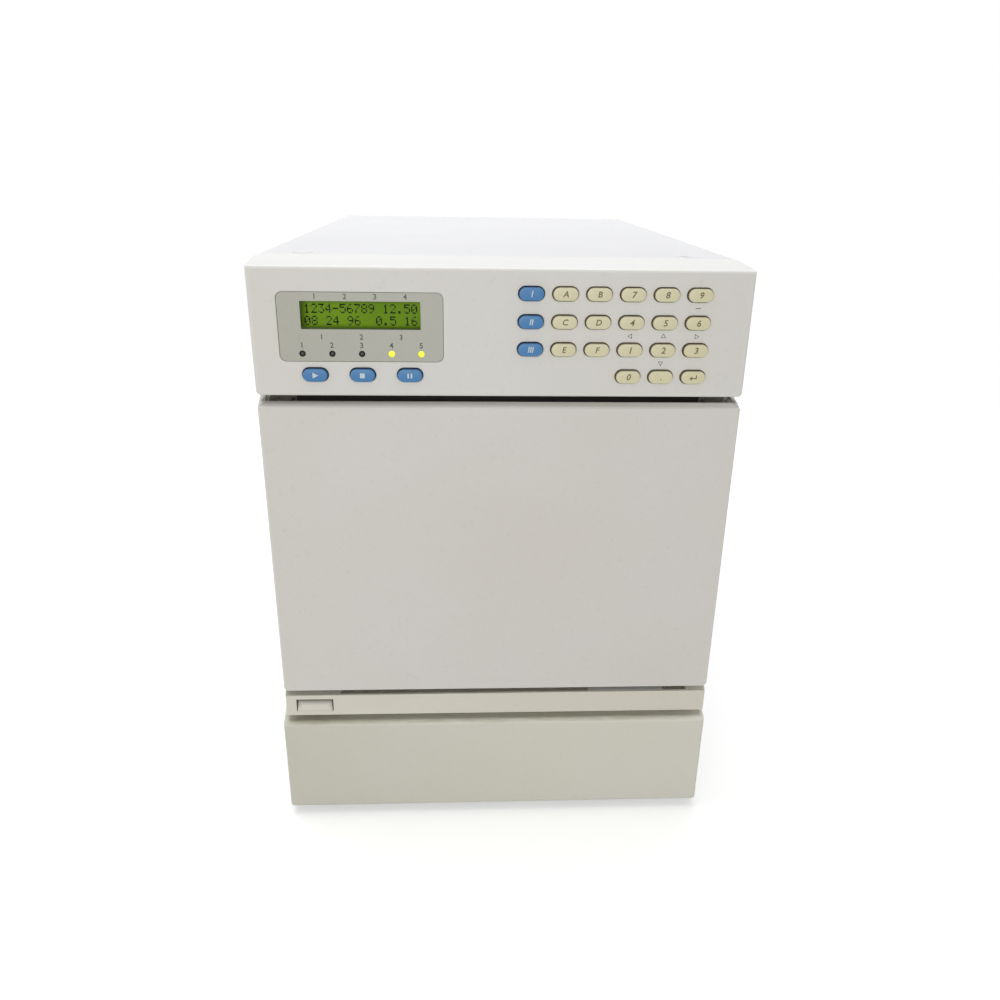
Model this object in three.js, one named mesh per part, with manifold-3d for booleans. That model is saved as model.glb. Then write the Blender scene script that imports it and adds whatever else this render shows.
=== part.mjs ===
// A benchtop autosampler (auto-injector) for liquid chromatography, on its cooler base.
// Millimetres, +Z up, the front faces -Y. The origin is the middle of the footprint, on the table.
// The main unit holds a needle that an X-Y-Z mechanism carries from a sample rack to an injection valve.
// Its front is a moulded fascia with keypad and display, over a door that flips up
// and a sill with the power key.

import * as THREE from "three";
import { ConvexGeometry } from "three/addons/geometries/ConvexGeometry.js";
import { mergeVertices } from "three/addons/utils/BufferGeometryUtils.js";
import Module from "manifold-3d";

// Overall size and the heights of the front, from the table up
const WIDTH = 260;
const DEPTH = 420;
const FOOT_HEIGHT = 5;
const BASE_HEIGHT = 61.6;
const STACK_GAP = 4.9;
const SILL_HEIGHT = 13.5;
const GAP_UNDER_DOOR = 3.9;
const DOOR_HEIGHT = 170.2;
const GAP_OVER_DOOR = 3.6;
const FASCIA_HEIGHT = 62.9;

// Plan of the front: each block is narrower at its face and widens straight to the full width
const FACE_INSET = 7.65;
const BASE_FACE_INSET = 5.5;
const SWELL_DEPTH = 45;
const CORNER = 1.5;
const SILL_CORNER = 3.5;
const BASE_CORNER = 4;

// Clearances, and how far a cut runs past what it cuts
const GAP = 0.3;
const PIN_GAP = 0.3;
const OVERRUN = 10;
const CORNER_STEPS = 3;

// Fascia
const FASCIA_DEPTH = 57;
const FASCIA_WALL = 3;
const BOSS_RADIUS = 2.5;
const BOSS_IN_FROM_SIDE = 8.4;
const BOSS_IN_FROM_EDGE = 6.6;

// Keys of the keypad and under the display
const KEY_SPACING = 4.08;
const KEY_HEIGHT = 7;
const KEY_PROUD = 1.5;
const KEY_TRAVEL = 1.2;
const KEY_FLANGE = 1;
const KEY_FLANGE_THICKNESS = 1.2;
const KEY_STEM_RADIUS = 2;
const KEY_STEM_LENGTH = 2.7;
const KEY_CROWN = 0.5;
const KEY_ARC_STEPS = 5;
const KEYPAD_FROM_SIDE = 26.65;
const KEYPAD_PITCH_SHARE = 0.067348;
const KEYPAD_PITCH_Z = 13.5;
const KEYPAD_BELOW_TOP = 11.8;
const COMMAND_PITCH_SHARE = 0.095014;
const COMMAND_FROM_SIDE = 29.85;
const COMMAND_ABOVE_BOTTOM = 10.8;

// Display: window, liquid crystal module and lamps
const WINDOW_FROM_SIDE = 13.35;
const WINDOW_WIDTH_SHARE = 0.325296;
const WINDOW_HEIGHT = 33.4;
const WINDOW_BELOW_TOP = 12.1;
const WINDOW_CORNER = 3;
const WINDOW_RECESS = 0.3;
const WINDOW_FLANGE = 1.2;
const WINDOW_FLANGE_THICKNESS = 1;
const LCD_FROM_WINDOW_END = 8;
const LCD_HEIGHT = 19;
const LCD_BELOW_TOP = 13.6;
const LCD_THICKNESS = 3.6;
const LAMP_FROM_WINDOW_END = 10.85;
const LAMP_COUNT = 5;
const LAMP_RADIUS = 1.4;
const LAMP_BELOW_TOP = 41.8;

// Control board behind the fascia
const BOARD_THICKNESS = 1.6;
const BOARD_MARGIN = 1.5;
const BOARD_SIDE_MARGIN = 1.35;
const DOME_RADIUS = 2.5;
const DOME_HEIGHT = 0.8;

// Door, its liner and its hinge
const DOOR_DEPTH = 26;
const DOOR_WALL = 3.5;
const DOOR_BEVEL = 2.7;
const HINGE_BEHIND_FACE = 9;
const HINGE_BELOW_DOOR_TOP = 9;
const LINER_THICKNESS = 2;
const LINER_IN_FROM_BACK = 2;
const LINER_BELOW_HINGE = 7;
const PIN_RADIUS = 2;
const PIN_HEAD_RADIUS = 3.5;
const PIN_HEAD_LENGTH = 2.4;
const PIN_SIDES = 16;
const EAR_RADIUS = 4.5;
const EAR_FROM_SIDE = 5.35;
const EAR_THICKNESS = 7;
const HINGE_BOSS_RADIUS = 4.4;
const HINGE_HOLE_DEPTH = 4.4;
const HINGE_BOSS_LENGTH = 4.6;

// Front frame with the sill and the power key
const FRAME_FRONT = 29;
const SILL_SETBACK = 1.8;
const MOUTH_FROM_SIDE = 14.35;
const MOUTH_ABOVE_SILL = 4;
const MOUTH_BELOW_HINGE = 8;
const GRIP_FROM_LEFT_SIDE = 31.35;
const GRIP_FROM_RIGHT_SIDE = 10.95;
const GRIP_LIP = 1.6;
const GRIP_BACK = 24;
const GRIP_DROP = 5;
const POWER_KEY_FROM_SIDE = 16.85;
const POWER_KEY_WIDTH = 19.6;
const POWER_KEY_HEIGHT = 7.4;
const POWER_KEY_ABOVE_BOTTOM = 3.6;
const POWER_KEY_PROUD = 0.3;
const POWER_KEY_FLANGE = 1.2;
const POWER_KEY_FLANGE_THICKNESS = 1.5;
const POWER_KEY_STEM_WIDTH = 6;
const POWER_KEY_STEM_HEIGHT = 4;
const POWER_KEY_STEM_LENGTH = 7;
const SILL_WALL = 3;
const POWER_POCKET_DEPTH = 22;
const POWER_POCKET_MARGIN = 1;

// Sheet-metal body of the main unit
const SHEET = 2;
const SHEET_BEND = 3;
const COVER_GAP = 0.3;
const REAR_PANEL_INSET = 4.5;
const VENT_COUNT = 9;
const VENT_HEIGHT = 3;
const VENT_PITCH = 7;
const VENT_WIDTH = 62;

// Feet, the stand-offs between the units and the dimples that take them
const FOOT_FROM_SIDE = 23.3;
const FOOT_FROM_FRONT = 66;
const FOOT_FROM_BACK = 68.5;
const FOOT_RADIUS = 5.5;
const FOOT_ROOT_RADIUS = 8;
const DIMPLE_RADIUS = 6;
const DIMPLE_DEPTH = 1.2;
const DIMPLE_SIDES = 16;

// Cooler base
const BASE_WALL = 3;
const BASE_BEVEL = 3.9;
const BASE_PLATE_LIFT = 1;
const BASE_BACK_INSET = 1.6;

// Power supply and inlet in the base
const SUPPLY_FROM_SIDE = 40;
const SUPPLY_WIDTH = 120;
const SUPPLY_LENGTH = 150;
const SUPPLY_HEIGHT = 42;
const SUPPLY_FROM_BACK = 23.5;
const SUPPLY_FLANGE = 8;
const SUPPLY_FLANGE_THICKNESS = 2;
const INLET_ABOVE_BASE = 26;
const INLET_WIDTH = 27;
const INLET_HEIGHT = 20;
const INLET_BODY_DEPTH = 18;
const INLET_FLANGE = 3;
const INLET_FLANGE_THICKNESS = 1.3;
const SOCKET_WIDTH = 24;
const SOCKET_HEIGHT = 16;
const SOCKET_DEPTH = 14;

// Needle mechanism: home is over the injection port
const HOME_FROM_SIDE = 46;
const HOME_FROM_FRONT = 200;
const PARTITION_BEHIND_HOME = 62;
const NEEDLE_Z_TRAVEL = 69;
const NEEDLE_OVER_RACK = 1.2;
const NEEDLE_RADIUS = 0.6;
const NEEDLE_BELOW_CLAMP = 33;
const NEEDLE_BORE_RADIUS = 0.9;
const NEEDLE_SIDES = 8;
const CLAMP_HALF = 6;
const CLAMP_HEIGHT = 6;
const Z_BAR_HALF = 4;
const Z_BAR_LENGTH = 78;
const Y_CARRIAGE_HEIGHT = 20;
const Y_CARRIAGE_HALF_LENGTH = 10;
const Y_CARRIAGE_RIGHT = 12;
const Y_CARRIAGE_WALL = 3.2;
const BEAM_WIDTH = 10;
const BEAM_HEIGHT = 13;
const BEAM_RIGHT = -6;
const BEAM_FRONT_MARGIN = 4;
const X_CARRIAGE_HALF = 24;
const X_CARRIAGE_THICKNESS = 18;
const X_LIP = 4;
const X_LIP_REACH = 8;
const RAIL_DEPTH = 12;
const RAIL_HEIGHT = 20;
const RAIL_FROM_SIDE = 12;
const RAIL_GROOVE = 3;
const RAIL_GROOVE_DEPTH = 2.5;

// Cooling block and sample rack
const BLOCK_MARGIN_X = 4;
const BLOCK_MARGIN_Y = 3;
const BLOCK_HEIGHT = 25;
const FIN_SLOTS = 9;
const FIN_SLOT_WIDTH = 3;
const FIN_SLOT_DEPTH = 12;
const RACK_FROM_SIDE = 54;
const RACK_TO_VALVE = 13.5;
const RACK_ROWS = 7;
const RACK_REAR_FROM_FRONT = 200;
const RACK_PITCH_X = 22;
const RACK_PITCH_Y = 20;
const RACK_MARGIN = 12;
const RACK_HEIGHT = 25.7;
const SEAT_RADIUS = 6.2;
const SEAT_DEPTH = 3.8;
const SEAT_SIDES = 8;

// Injection valve with its port, and the valve's rotor
const VALVE_HALF_WIDTH = 20;
const VALVE_FRONT = 16;
const VALVE_REAR = 22;
const VALVE_HEIGHT = 49;
const PORT_RADIUS = 5;
const PORT_HEIGHT = 19;
const PORT_BORE_RADIUS = 1.6;
const PORT_BORE_DEPTH = 20;
const ROTOR_RADIUS = 15;
const ROTOR_THICKNESS = 10;
const ROTOR_ABOVE_FLOOR = 31;
const ROTOR_SHAFT_RADIUS = 3;
const ROTOR_SHAFT_LENGTH = 8;
const ROTOR_TAB_WIDTH = 6;
const ROTOR_TAB_REACH = 5;
const ROUND_SIDES = 20;

// Measuring pump
const PUMP_FROM_SIDE = 22;
const PUMP_WIDTH = 38;
const PUMP_FRONT = 96;
const PUMP_LENGTH = 44;
const PUMP_HEIGHT = 70;
const BARREL_RADIUS = 9;
const BARREL_HEIGHT = 12;
const PLUNGER_RADIUS = 4;
const PLUNGER_LENGTH = 40;
const PLUNGER_PROUD = 15;
const PLUNGER_TRAVEL = 14;
const PLUNGER_END_ROOM = 1;
const PLUNGER_HEAD_RADIUS = 8;
const PLUNGER_HEAD_THICKNESS = 4;

// Main board on the back of the partition
const MAIN_BOARD_FROM_SIDE = 20;
const MAIN_BOARD_WIDTH = 170;
const MAIN_BOARD_ABOVE_FLOOR = 40;
const MAIN_BOARD_HEIGHT = 130;
const STANDOFF_LENGTH = 4;
const STANDOFF_RADIUS = 3;
const STANDOFF_INSET = 8;
const CHIP_HEIGHT = 4;
const CHIP_PLACE_SHARES = [
  [0.1, 0.15, 0.2, 0.25],
  [0.4, 0.2, 0.15, 0.2],
  [0.65, 0.12, 0.25, 0.15],
  [0.15, 0.6, 0.12, 0.25],
  [0.45, 0.55, 0.3, 0.25],
];

// Fan at the rear
const FAN_FROM_SIDE = 80;
const FAN_ABOVE_FLOOR = 120;
const FAN_HALF = 40;
const FAN_DEPTH = 20;
const FAN_BORE_RADIUS = 37;
const FAN_TIP_GAP = 1;
const FAN_MOTOR_RADIUS = 14;
const FAN_MOTOR_THICKNESS = 4;
const FAN_STRUT_WIDTH = 4;
const FAN_STRUTS = 4;
const FAN_HUB_RADIUS = 15;
const FAN_HUB_FRONT_ROOM = 2;
const FAN_BLADES = 7;
const FAN_BLADE_THICKNESS = 1.5;
const FAN_BLADE_CHORD = 16;
const FAN_BLADE_PITCH_DEG = 35;

// Planes that the pieces share
const frontY = -DEPTH / 2 + KEY_PROUD;
const backY = DEPTH / 2;
const halfWidth = WIDTH / 2;
const faceHalf = halfWidth - FACE_INSET;
const baseFaceHalf = halfWidth - BASE_FACE_INSET;
const baseTop = FOOT_HEIGHT + BASE_HEIGHT;
const unitBottom = baseTop + STACK_GAP;
const sillTop = unitBottom + SILL_HEIGHT;
const doorBottom = sillTop + GAP_UNDER_DOOR;
const doorTop = doorBottom + DOOR_HEIGHT;
const fasciaBottom = doorTop + GAP_OVER_DOOR;
const unitTop = fasciaBottom + FASCIA_HEIGHT;
const hingeY = frontY + HINGE_BEHIND_FACE;
const hingeZ = doorTop - HINGE_BELOW_DOOR_TOP;
const floorTop = unitBottom + SHEET;
const ceiling = unitTop - SHEET;
const seamY = frontY + FASCIA_DEPTH;
const boardY = frontY + FASCIA_WALL + GAP + KEY_FLANGE_THICKNESS + KEY_STEM_LENGTH
  + KEY_TRAVEL + GAP + DOME_HEIGHT;
const homeY = frontY + HOME_FROM_FRONT;
const partitionY = homeY + PARTITION_BEHIND_HOME;
const rearPanelY = backY - REAR_PANEL_INSET;
const windowLeft = WINDOW_FROM_SIDE - faceHalf;
const windowWidth = 2 * faceHalf * WINDOW_WIDTH_SHARE;
const keyPitch = 2 * faceHalf * KEYPAD_PITCH_SHARE;
const keyWidth = keyPitch - KEY_SPACING;
const earOuter = faceHalf - EAR_FROM_SIDE;
const earInner = earOuter - EAR_THICKNESS;
const hingeHoleEnd = earOuter + GAP + HINGE_HOLE_DEPTH;
const supplyRight = halfWidth - SUPPLY_FROM_SIDE;
const inletX = supplyRight - SUPPLY_WIDTH / 2;
const fanX = FAN_FROM_SIDE - halfWidth;
const footX = halfWidth - FOOT_FROM_SIDE;
const footPlaces = [
  ["front_left", -footX, frontY + FOOT_FROM_FRONT],
  ["front_right", footX, frontY + FOOT_FROM_FRONT],
  ["rear_left", -footX, backY - FOOT_FROM_BACK],
  ["rear_right", footX, backY - FOOT_FROM_BACK],
];

const wasm = await Module();
wasm.setup();

// A closed three.js geometry as a solid that can be joined and cut.
function solidOf(geometry) {
  const bare = geometry.clone();
  bare.deleteAttribute("normal");
  bare.deleteAttribute("uv");
  const merged = mergeVertices(bare);
  return new wasm.Manifold(new wasm.Mesh({
    numProp: 3,
    vertProperties: new Float32Array(merged.attributes.position.array),
    triVerts: new Uint32Array(merged.index.array),
  }));
}

// A named mesh of a solid, with its finish.
function piece(name, solid, material) {
  const { vertProperties, triVerts } = solid.getMesh();
  const geometry = new THREE.BufferGeometry();
  geometry.setAttribute("position", new THREE.BufferAttribute(new Float32Array(vertProperties), 3));
  geometry.setIndex(new THREE.BufferAttribute(new Uint32Array(triVerts), 1));
  geometry.computeVertexNormals();
  const mesh = new THREE.Mesh(geometry, material);
  mesh.name = name;
  return mesh;
}

// A block between two opposite corners.
function block(x0, x1, y0, y1, z0, z1) {
  const geometry = new THREE.BoxGeometry(x1 - x0, y1 - y0, z1 - z0);
  geometry.translate((x0 + x1) / 2, (y0 + y1) / 2, (z0 + z1) / 2);
  return solidOf(geometry);
}

// A round bar along x, y or z, from one coordinate to another on that axis.
function bar(axis, radius, from, to, centre, sides = ROUND_SIDES) {
  const geometry = new THREE.CylinderGeometry(radius, radius, to - from, sides);
  if (axis === "x") geometry.rotateZ(Math.PI / 2);
  if (axis === "z") geometry.rotateX(Math.PI / 2);
  const place = { ...centre, [axis]: (from + to) / 2 };
  geometry.translate(place.x ?? 0, place.y ?? 0, place.z ?? 0);
  return solidOf(geometry);
}

// A plan outline, drawn in x and y, raised from z0 to z1.
function slab(shape, z0, z1) {
  const geometry = new THREE.ExtrudeGeometry(shape, {
    depth: z1 - z0,
    bevelEnabled: false,
    curveSegments: CORNER_STEPS,
  });
  geometry.translate(0, 0, z0);
  return solidOf(geometry);
}

// A convex plan outline raised from z0 to z1, its upper edge bevelled in to a smaller outline.
function bevelledSlab(outline, topOutline, z0, z1, bevel) {
  const points = [];
  for (const [shape, z] of [[outline, z0], [outline, z1 - bevel], [topOutline, z1]]) {
    for (const { x, y } of shape.getPoints(CORNER_STEPS)) points.push(new THREE.Vector3(x, y, z));
  }
  return solidOf(new ConvexGeometry(points));
}

// An outline drawn in x and z, carried along y from y0 to y1.
function wall(shape, y0, y1, steps = CORNER_STEPS) {
  const geometry = new THREE.ExtrudeGeometry(shape, {
    depth: y1 - y0,
    bevelEnabled: false,
    curveSegments: steps,
  });
  geometry.rotateX(Math.PI / 2);
  geometry.translate(0, y1, 0);
  return solidOf(geometry);
}

// The plan of a block of the front: a flat face with rounded corners, sides that widen to the full width.
function footprint(face, full, nearY, farY, corner = CORNER) {
  const swellY = frontY + SWELL_DEPTH;
  const shape = new THREE.Shape();
  shape.moveTo(-full, farY);
  shape.lineTo(-full, swellY);
  shape.lineTo(-face, nearY + corner);
  shape.quadraticCurveTo(-face, nearY, -face + corner, nearY);
  shape.lineTo(face - corner, nearY);
  shape.quadraticCurveTo(face, nearY, face, nearY + corner);
  shape.lineTo(full, swellY);
  shape.lineTo(full, farY);
  shape.closePath();
  return shape;
}

// A bar with half-round ends, as the keys are.
function stadium(width, height) {
  const radius = height / 2;
  const reach = width / 2 - radius;
  const shape = new THREE.Shape();
  shape.absarc(reach, 0, radius, -Math.PI / 2, Math.PI / 2);
  shape.absarc(-reach, 0, radius, Math.PI / 2, Math.PI * 1.5);
  shape.closePath();
  return shape;
}

function roundedRectangle(x0, x1, z0, z1, radius) {
  const shape = new THREE.Shape();
  shape.moveTo(x0 + radius, z0);
  shape.lineTo(x1 - radius, z0);
  shape.quadraticCurveTo(x1, z0, x1, z0 + radius);
  shape.lineTo(x1, z1 - radius);
  shape.quadraticCurveTo(x1, z1, x1 - radius, z1);
  shape.lineTo(x0 + radius, z1);
  shape.quadraticCurveTo(x0, z1, x0, z1 - radius);
  shape.lineTo(x0, z0 + radius);
  shape.quadraticCurveTo(x0, z0, x0 + radius, z0);
  return shape;
}

function finish(color, roughness, metalness = 0) {
  return new THREE.MeshStandardMaterial({ color, roughness, metalness });
}

const finishes = {
  fascia: finish(0xd5d3cd, 0.55),
  door: finish(0xd0cfca, 0.55),
  cream: finish(0xd2cebd, 0.6),
  cover: finish(0xeeeeee, 0.5),
  base: finish(0xd3cec3, 0.6),
  creamKey: finish(0xd9d2a8, 0.5),
  blueKey: finish(0x3f7fc4, 0.45),
  window: finish(0xa9aba0, 0.35),
  glass: finish(0x93b93a, 0.2),
  board: finish(0x2f6b45, 0.6),
  rubber: finish(0x2b2b2b, 0.9),
  steel: finish(0xb9bcc0, 0.35, 0.9),
  aluminium: finish(0xc6c9cc, 0.4, 0.8),
  black: finish(0x24262a, 0.6),
  rack: finish(0x46586e, 0.6),
};

// Where the keys stand: [name, x, z, colour].
function keyPlaces() {
  const rows = [
    ["key_f1", "key_a", "key_b", "key_7", "key_8", "key_9"],
    ["key_f2", "key_c", "key_d", "key_4", "key_5", "key_6"],
    ["key_f3", "key_e", "key_f", "key_1", "key_2", "key_3"],
    [null, null, null, "key_0", "key_point", "key_enter"],
  ];
  const places = [];
  rows.forEach((row, down) => row.forEach((name, across) => {
    if (!name) return;
    const x = faceHalf - KEYPAD_FROM_SIDE - (row.length - 1 - across) * keyPitch;
    const z = unitTop - KEYPAD_BELOW_TOP - down * KEYPAD_PITCH_Z;
    places.push([name, x, z, across === 0 ? finishes.blueKey : finishes.creamKey]);
  }));
  ["key_start", "key_stop", "key_sleep"].forEach((name, i) => {
    const x = COMMAND_FROM_SIDE - faceHalf + i * 2 * faceHalf * COMMAND_PITCH_SHARE;
    places.push([name, x, fasciaBottom + COMMAND_ABOVE_BOTTOM, finishes.blueKey]);
  });
  return places;
}

function lampPlaces() {
  const places = [];
  const pitch = (windowWidth - 2 * LAMP_FROM_WINDOW_END) / (LAMP_COUNT - 1);
  for (let i = 0; i < LAMP_COUNT; i++) {
    places.push({ x: windowLeft + LAMP_FROM_WINDOW_END + i * pitch, z: unitTop - LAMP_BELOW_TOP });
  }
  return places;
}

// A key: the cap with its crowned face, the flange that keeps it in, and the stem that presses the switch.
// Its own origin is on the fascia's face, in the middle of its opening.
function keySolid() {
  const flangeY = FASCIA_WALL + GAP;
  const crown = new THREE.ExtrudeGeometry(stadium(keyWidth, KEY_HEIGHT), {
    depth: flangeY + KEY_PROUD - KEY_CROWN,
    bevelThickness: KEY_CROWN,
    bevelSize: KEY_CROWN,
    bevelOffset: -KEY_CROWN,
    bevelSegments: 1,
    curveSegments: KEY_ARC_STEPS,
  });
  crown.rotateX(Math.PI / 2);
  crown.translate(0, flangeY, 0);
  const flange = wall(
    stadium(keyWidth + 2 * KEY_FLANGE, KEY_HEIGHT + 2 * KEY_FLANGE),
    flangeY,
    flangeY + KEY_FLANGE_THICKNESS,
    KEY_ARC_STEPS,
  );
  const stemFrom = flangeY + KEY_FLANGE_THICKNESS / 2;
  const stemTo = flangeY + KEY_FLANGE_THICKNESS + KEY_STEM_LENGTH;
  return solidOf(crown)
    .add(flange)
    .add(bar("y", KEY_STEM_RADIUS, stemFrom, stemTo, {}, NEEDLE_SIDES));
}

function windowOutline(grow) {
  const top = unitTop - WINDOW_BELOW_TOP;
  return roundedRectangle(
    windowLeft - grow,
    windowLeft + windowWidth + grow,
    top - WINDOW_HEIGHT - grow,
    top + grow,
    WINDOW_CORNER + grow,
  );
}

// The fascia: a moulded tub open at the back, with the openings of the keys and the display.
function fasciaSolid(keys) {
  const farY = seamY + OVERRUN;
  const innerFace = faceHalf - FASCIA_WALL;
  const innerFull = halfWidth - FASCIA_WALL;
  let made = slab(footprint(faceHalf, halfWidth, frontY, seamY), fasciaBottom, unitTop);
  made = made.subtract(slab(
    footprint(innerFace, innerFull, frontY + FASCIA_WALL, farY),
    fasciaBottom + FASCIA_WALL,
    unitTop - FASCIA_WALL,
  ));
  const opening = stadium(keyWidth + 2 * GAP, KEY_HEIGHT + 2 * GAP);
  const through = wall(opening, frontY - GAP, frontY + FASCIA_WALL + GAP, KEY_ARC_STEPS);
  for (const [, x, z] of keys) made = made.subtract(through.translate(x, 0, z));
  made = made.subtract(wall(windowOutline(GAP), frontY - GAP, frontY + FASCIA_WALL + GAP));
  for (const side of [-1, 1]) {
    for (const z of [fasciaBottom + BOSS_IN_FROM_EDGE, unitTop - BOSS_IN_FROM_EDGE]) {
      const centre = { x: side * (faceHalf - BOSS_IN_FROM_SIDE), z };
      made = made.add(bar("y", BOSS_RADIUS, frontY + FASCIA_WALL / 2, boardY - GAP, centre, NEEDLE_SIDES));
    }
  }
  return made;
}

// The display window: a printed plate in the opening, with a flange behind it and holes for the lamps.
function windowSolid() {
  const flangeY = frontY + FASCIA_WALL + GAP;
  let made = wall(windowOutline(0), frontY + WINDOW_RECESS, flangeY + WINDOW_FLANGE_THICKNESS / 2)
    .add(wall(windowOutline(WINDOW_FLANGE), flangeY, flangeY + WINDOW_FLANGE_THICKNESS));
  for (const lamp of lampPlaces()) {
    made = made.subtract(bar("y", LAMP_RADIUS + GAP, frontY - GAP, boardY, lamp, NEEDLE_SIDES));
  }
  return made;
}

function lcdSolid() {
  const top = unitTop - LCD_BELOW_TOP;
  const x0 = windowLeft + LCD_FROM_WINDOW_END;
  const x1 = windowLeft + windowWidth - LCD_FROM_WINDOW_END;
  const y1 = boardY - GAP;
  return block(x0, x1, y1 - LCD_THICKNESS, y1, top - LCD_HEIGHT, top);
}

// The control board: one printed board with a switch dome behind each key and the row of lamps.
function controlBoardSolid(keys) {
  const z0 = fasciaBottom + FASCIA_WALL + BOARD_MARGIN;
  const z1 = unitTop - FASCIA_WALL - BOARD_MARGIN;
  const reach = faceHalf - FASCIA_WALL - BOARD_SIDE_MARGIN;
  let made = block(-reach, reach, boardY, boardY + BOARD_THICKNESS, z0, z1);
  const inside = boardY + BOARD_THICKNESS / 2;
  for (const [, x, z] of keys) {
    made = made.add(bar("y", DOME_RADIUS, boardY - DOME_HEIGHT, inside, { x, z }, NEEDLE_SIDES));
  }
  for (const lamp of lampPlaces()) {
    made = made.add(bar("y", LAMP_RADIUS, frontY + WINDOW_RECESS, inside, lamp, NEEDLE_SIDES));
  }
  return made;
}

// The door: a moulded pan, open at the back and the top, with a bored boss for the hinge in each side.
function doorSolid() {
  const cutY = frontY + DOOR_DEPTH;
  const farY = frontY + SWELL_DEPTH + OVERRUN;
  const innerFace = faceHalf - DOOR_WALL;
  const innerFull = halfWidth - DOOR_WALL;
  const outline = footprint(faceHalf, halfWidth, frontY, farY);
  const topOutline = footprint(
    faceHalf - DOOR_BEVEL, halfWidth - DOOR_BEVEL, frontY + DOOR_BEVEL, farY,
  );
  let made = bevelledSlab(outline, topOutline, doorBottom, doorTop, DOOR_BEVEL);
  made = made.subtract(slab(
    footprint(innerFace, innerFull, frontY + DOOR_WALL, farY + OVERRUN),
    doorBottom + DOOR_WALL,
    doorTop + OVERRUN,
  ));
  const bossFrom = earOuter + GAP;
  const bossRoot = bossFrom + HINGE_BOSS_LENGTH;
  for (const side of [-1, 1]) {
    const ends = [side * bossFrom, side * bossRoot].sort((a, b) => a - b);
    const boreEnds = [side * earOuter, side * hingeHoleEnd].sort((a, b) => a - b);
    const axis = { y: hingeY, z: hingeZ };
    made = made.add(bar("x", HINGE_BOSS_RADIUS, ...ends, axis));
    made = made.subtract(bar("x", PIN_RADIUS + PIN_GAP, ...boreEnds, axis, PIN_SIDES));
  }
  return made.subtract(block(-WIDTH, WIDTH, cutY, DEPTH, doorBottom - OVERRUN, doorTop + OVERRUN));
}

// The liner closes the door's back below the hinge.
function linerSolid() {
  const y1 = frontY + DOOR_DEPTH - LINER_IN_FROM_BACK;
  const farY = frontY + SWELL_DEPTH + OVERRUN;
  const inset = DOOR_WALL + GAP;
  const outline = footprint(faceHalf - inset, halfWidth - inset, frontY + inset, farY);
  const z0 = doorBottom + inset;
  const z1 = hingeZ - LINER_BELOW_HINGE;
  return slab(outline, z0, z1).intersect(block(-WIDTH, WIDTH, y1 - LINER_THICKNESS, y1, z0, z1));
}

// A hinge pin with its head, for the left (-1) or the right (1) end of the door.
function hingePinSolid(side) {
  const seat = earInner - GAP;
  const shank = [side * seat, side * (hingeHoleEnd - GAP)].sort((a, b) => a - b);
  const head = [side * (seat - PIN_HEAD_LENGTH), side * seat].sort((a, b) => a - b);
  const axis = { y: hingeY, z: hingeZ };
  return bar("x", PIN_RADIUS, ...shank, axis, PIN_SIDES).add(bar("x", PIN_HEAD_RADIUS, ...head, axis));
}

function powerKeyPlace() {
  const z0 = unitBottom + POWER_KEY_ABOVE_BOTTOM;
  const x = POWER_KEY_FROM_SIDE - faceHalf;
  return { x, x0: x - POWER_KEY_WIDTH / 2, x1: x + POWER_KEY_WIDTH / 2, z0, z1: z0 + POWER_KEY_HEIGHT };
}

// The front frame: one cream moulding with the two posts, the top rail, the sill under the door
// and the ears that hold the door's pins.
function frameSolid() {
  const frameY = frontY + FRAME_FRONT;
  const sillY = frontY + SILL_SETBACK;
  const top = fasciaBottom - GAP;
  const mouthTop = hingeZ - MOUTH_BELOW_HINGE;
  const mouthHalf = faceHalf - MOUTH_FROM_SIDE;
  const mouthBottom = sillTop + MOUTH_ABOVE_SILL;
  const mouth = block(-mouthHalf, mouthHalf, frameY - OVERRUN, seamY + OVERRUN, mouthBottom, mouthTop);
  const aheadOfFrame = block(-WIDTH, WIDTH, -DEPTH, frameY, unitBottom - OVERRUN, top + OVERRUN);
  let made = slab(footprint(faceHalf, halfWidth, frontY, seamY), unitBottom, top)
    .subtract(aheadOfFrame)
    .subtract(mouth)
    .add(slab(footprint(faceHalf, halfWidth, sillY, seamY, SILL_CORNER), unitBottom, sillTop));
  const gripLeft = GRIP_FROM_LEFT_SIDE - faceHalf;
  const gripRight = faceHalf - GRIP_FROM_RIGHT_SIDE;
  made = made.subtract(block(
    gripLeft, gripRight, sillY + GRIP_LIP, frontY + GRIP_BACK, sillTop - GRIP_DROP, sillTop + OVERRUN,
  ));
  const key = powerKeyPlace();
  made = made.subtract(block(
    key.x0 - GAP, key.x1 + GAP, sillY - OVERRUN, sillY + SILL_WALL + OVERRUN, key.z0 - GAP, key.z1 + GAP,
  ));
  const room = POWER_KEY_FLANGE + POWER_POCKET_MARGIN;
  made = made.subtract(block(
    key.x0 - room, key.x1 + room, sillY + SILL_WALL, sillY + SILL_WALL + POWER_POCKET_DEPTH,
    unitBottom - OVERRUN, key.z1 + room,
  ));
  for (const side of [-1, 1]) {
    const ends = [side * earInner, side * earOuter].sort((a, b) => a - b);
    const axis = { y: hingeY, z: hingeZ };
    made = made
      .add(bar("x", EAR_RADIUS, ...ends, axis))
      .add(block(...ends, hingeY, frameY + GAP, hingeZ - EAR_RADIUS, hingeZ + EAR_RADIUS));
    const boreEnds = [side * (earInner - GAP), side * (earOuter + GAP)].sort((a, b) => a - b);
    made = made.subtract(bar("x", PIN_RADIUS + PIN_GAP, ...boreEnds, axis, PIN_SIDES));
  }
  return made;
}

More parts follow.
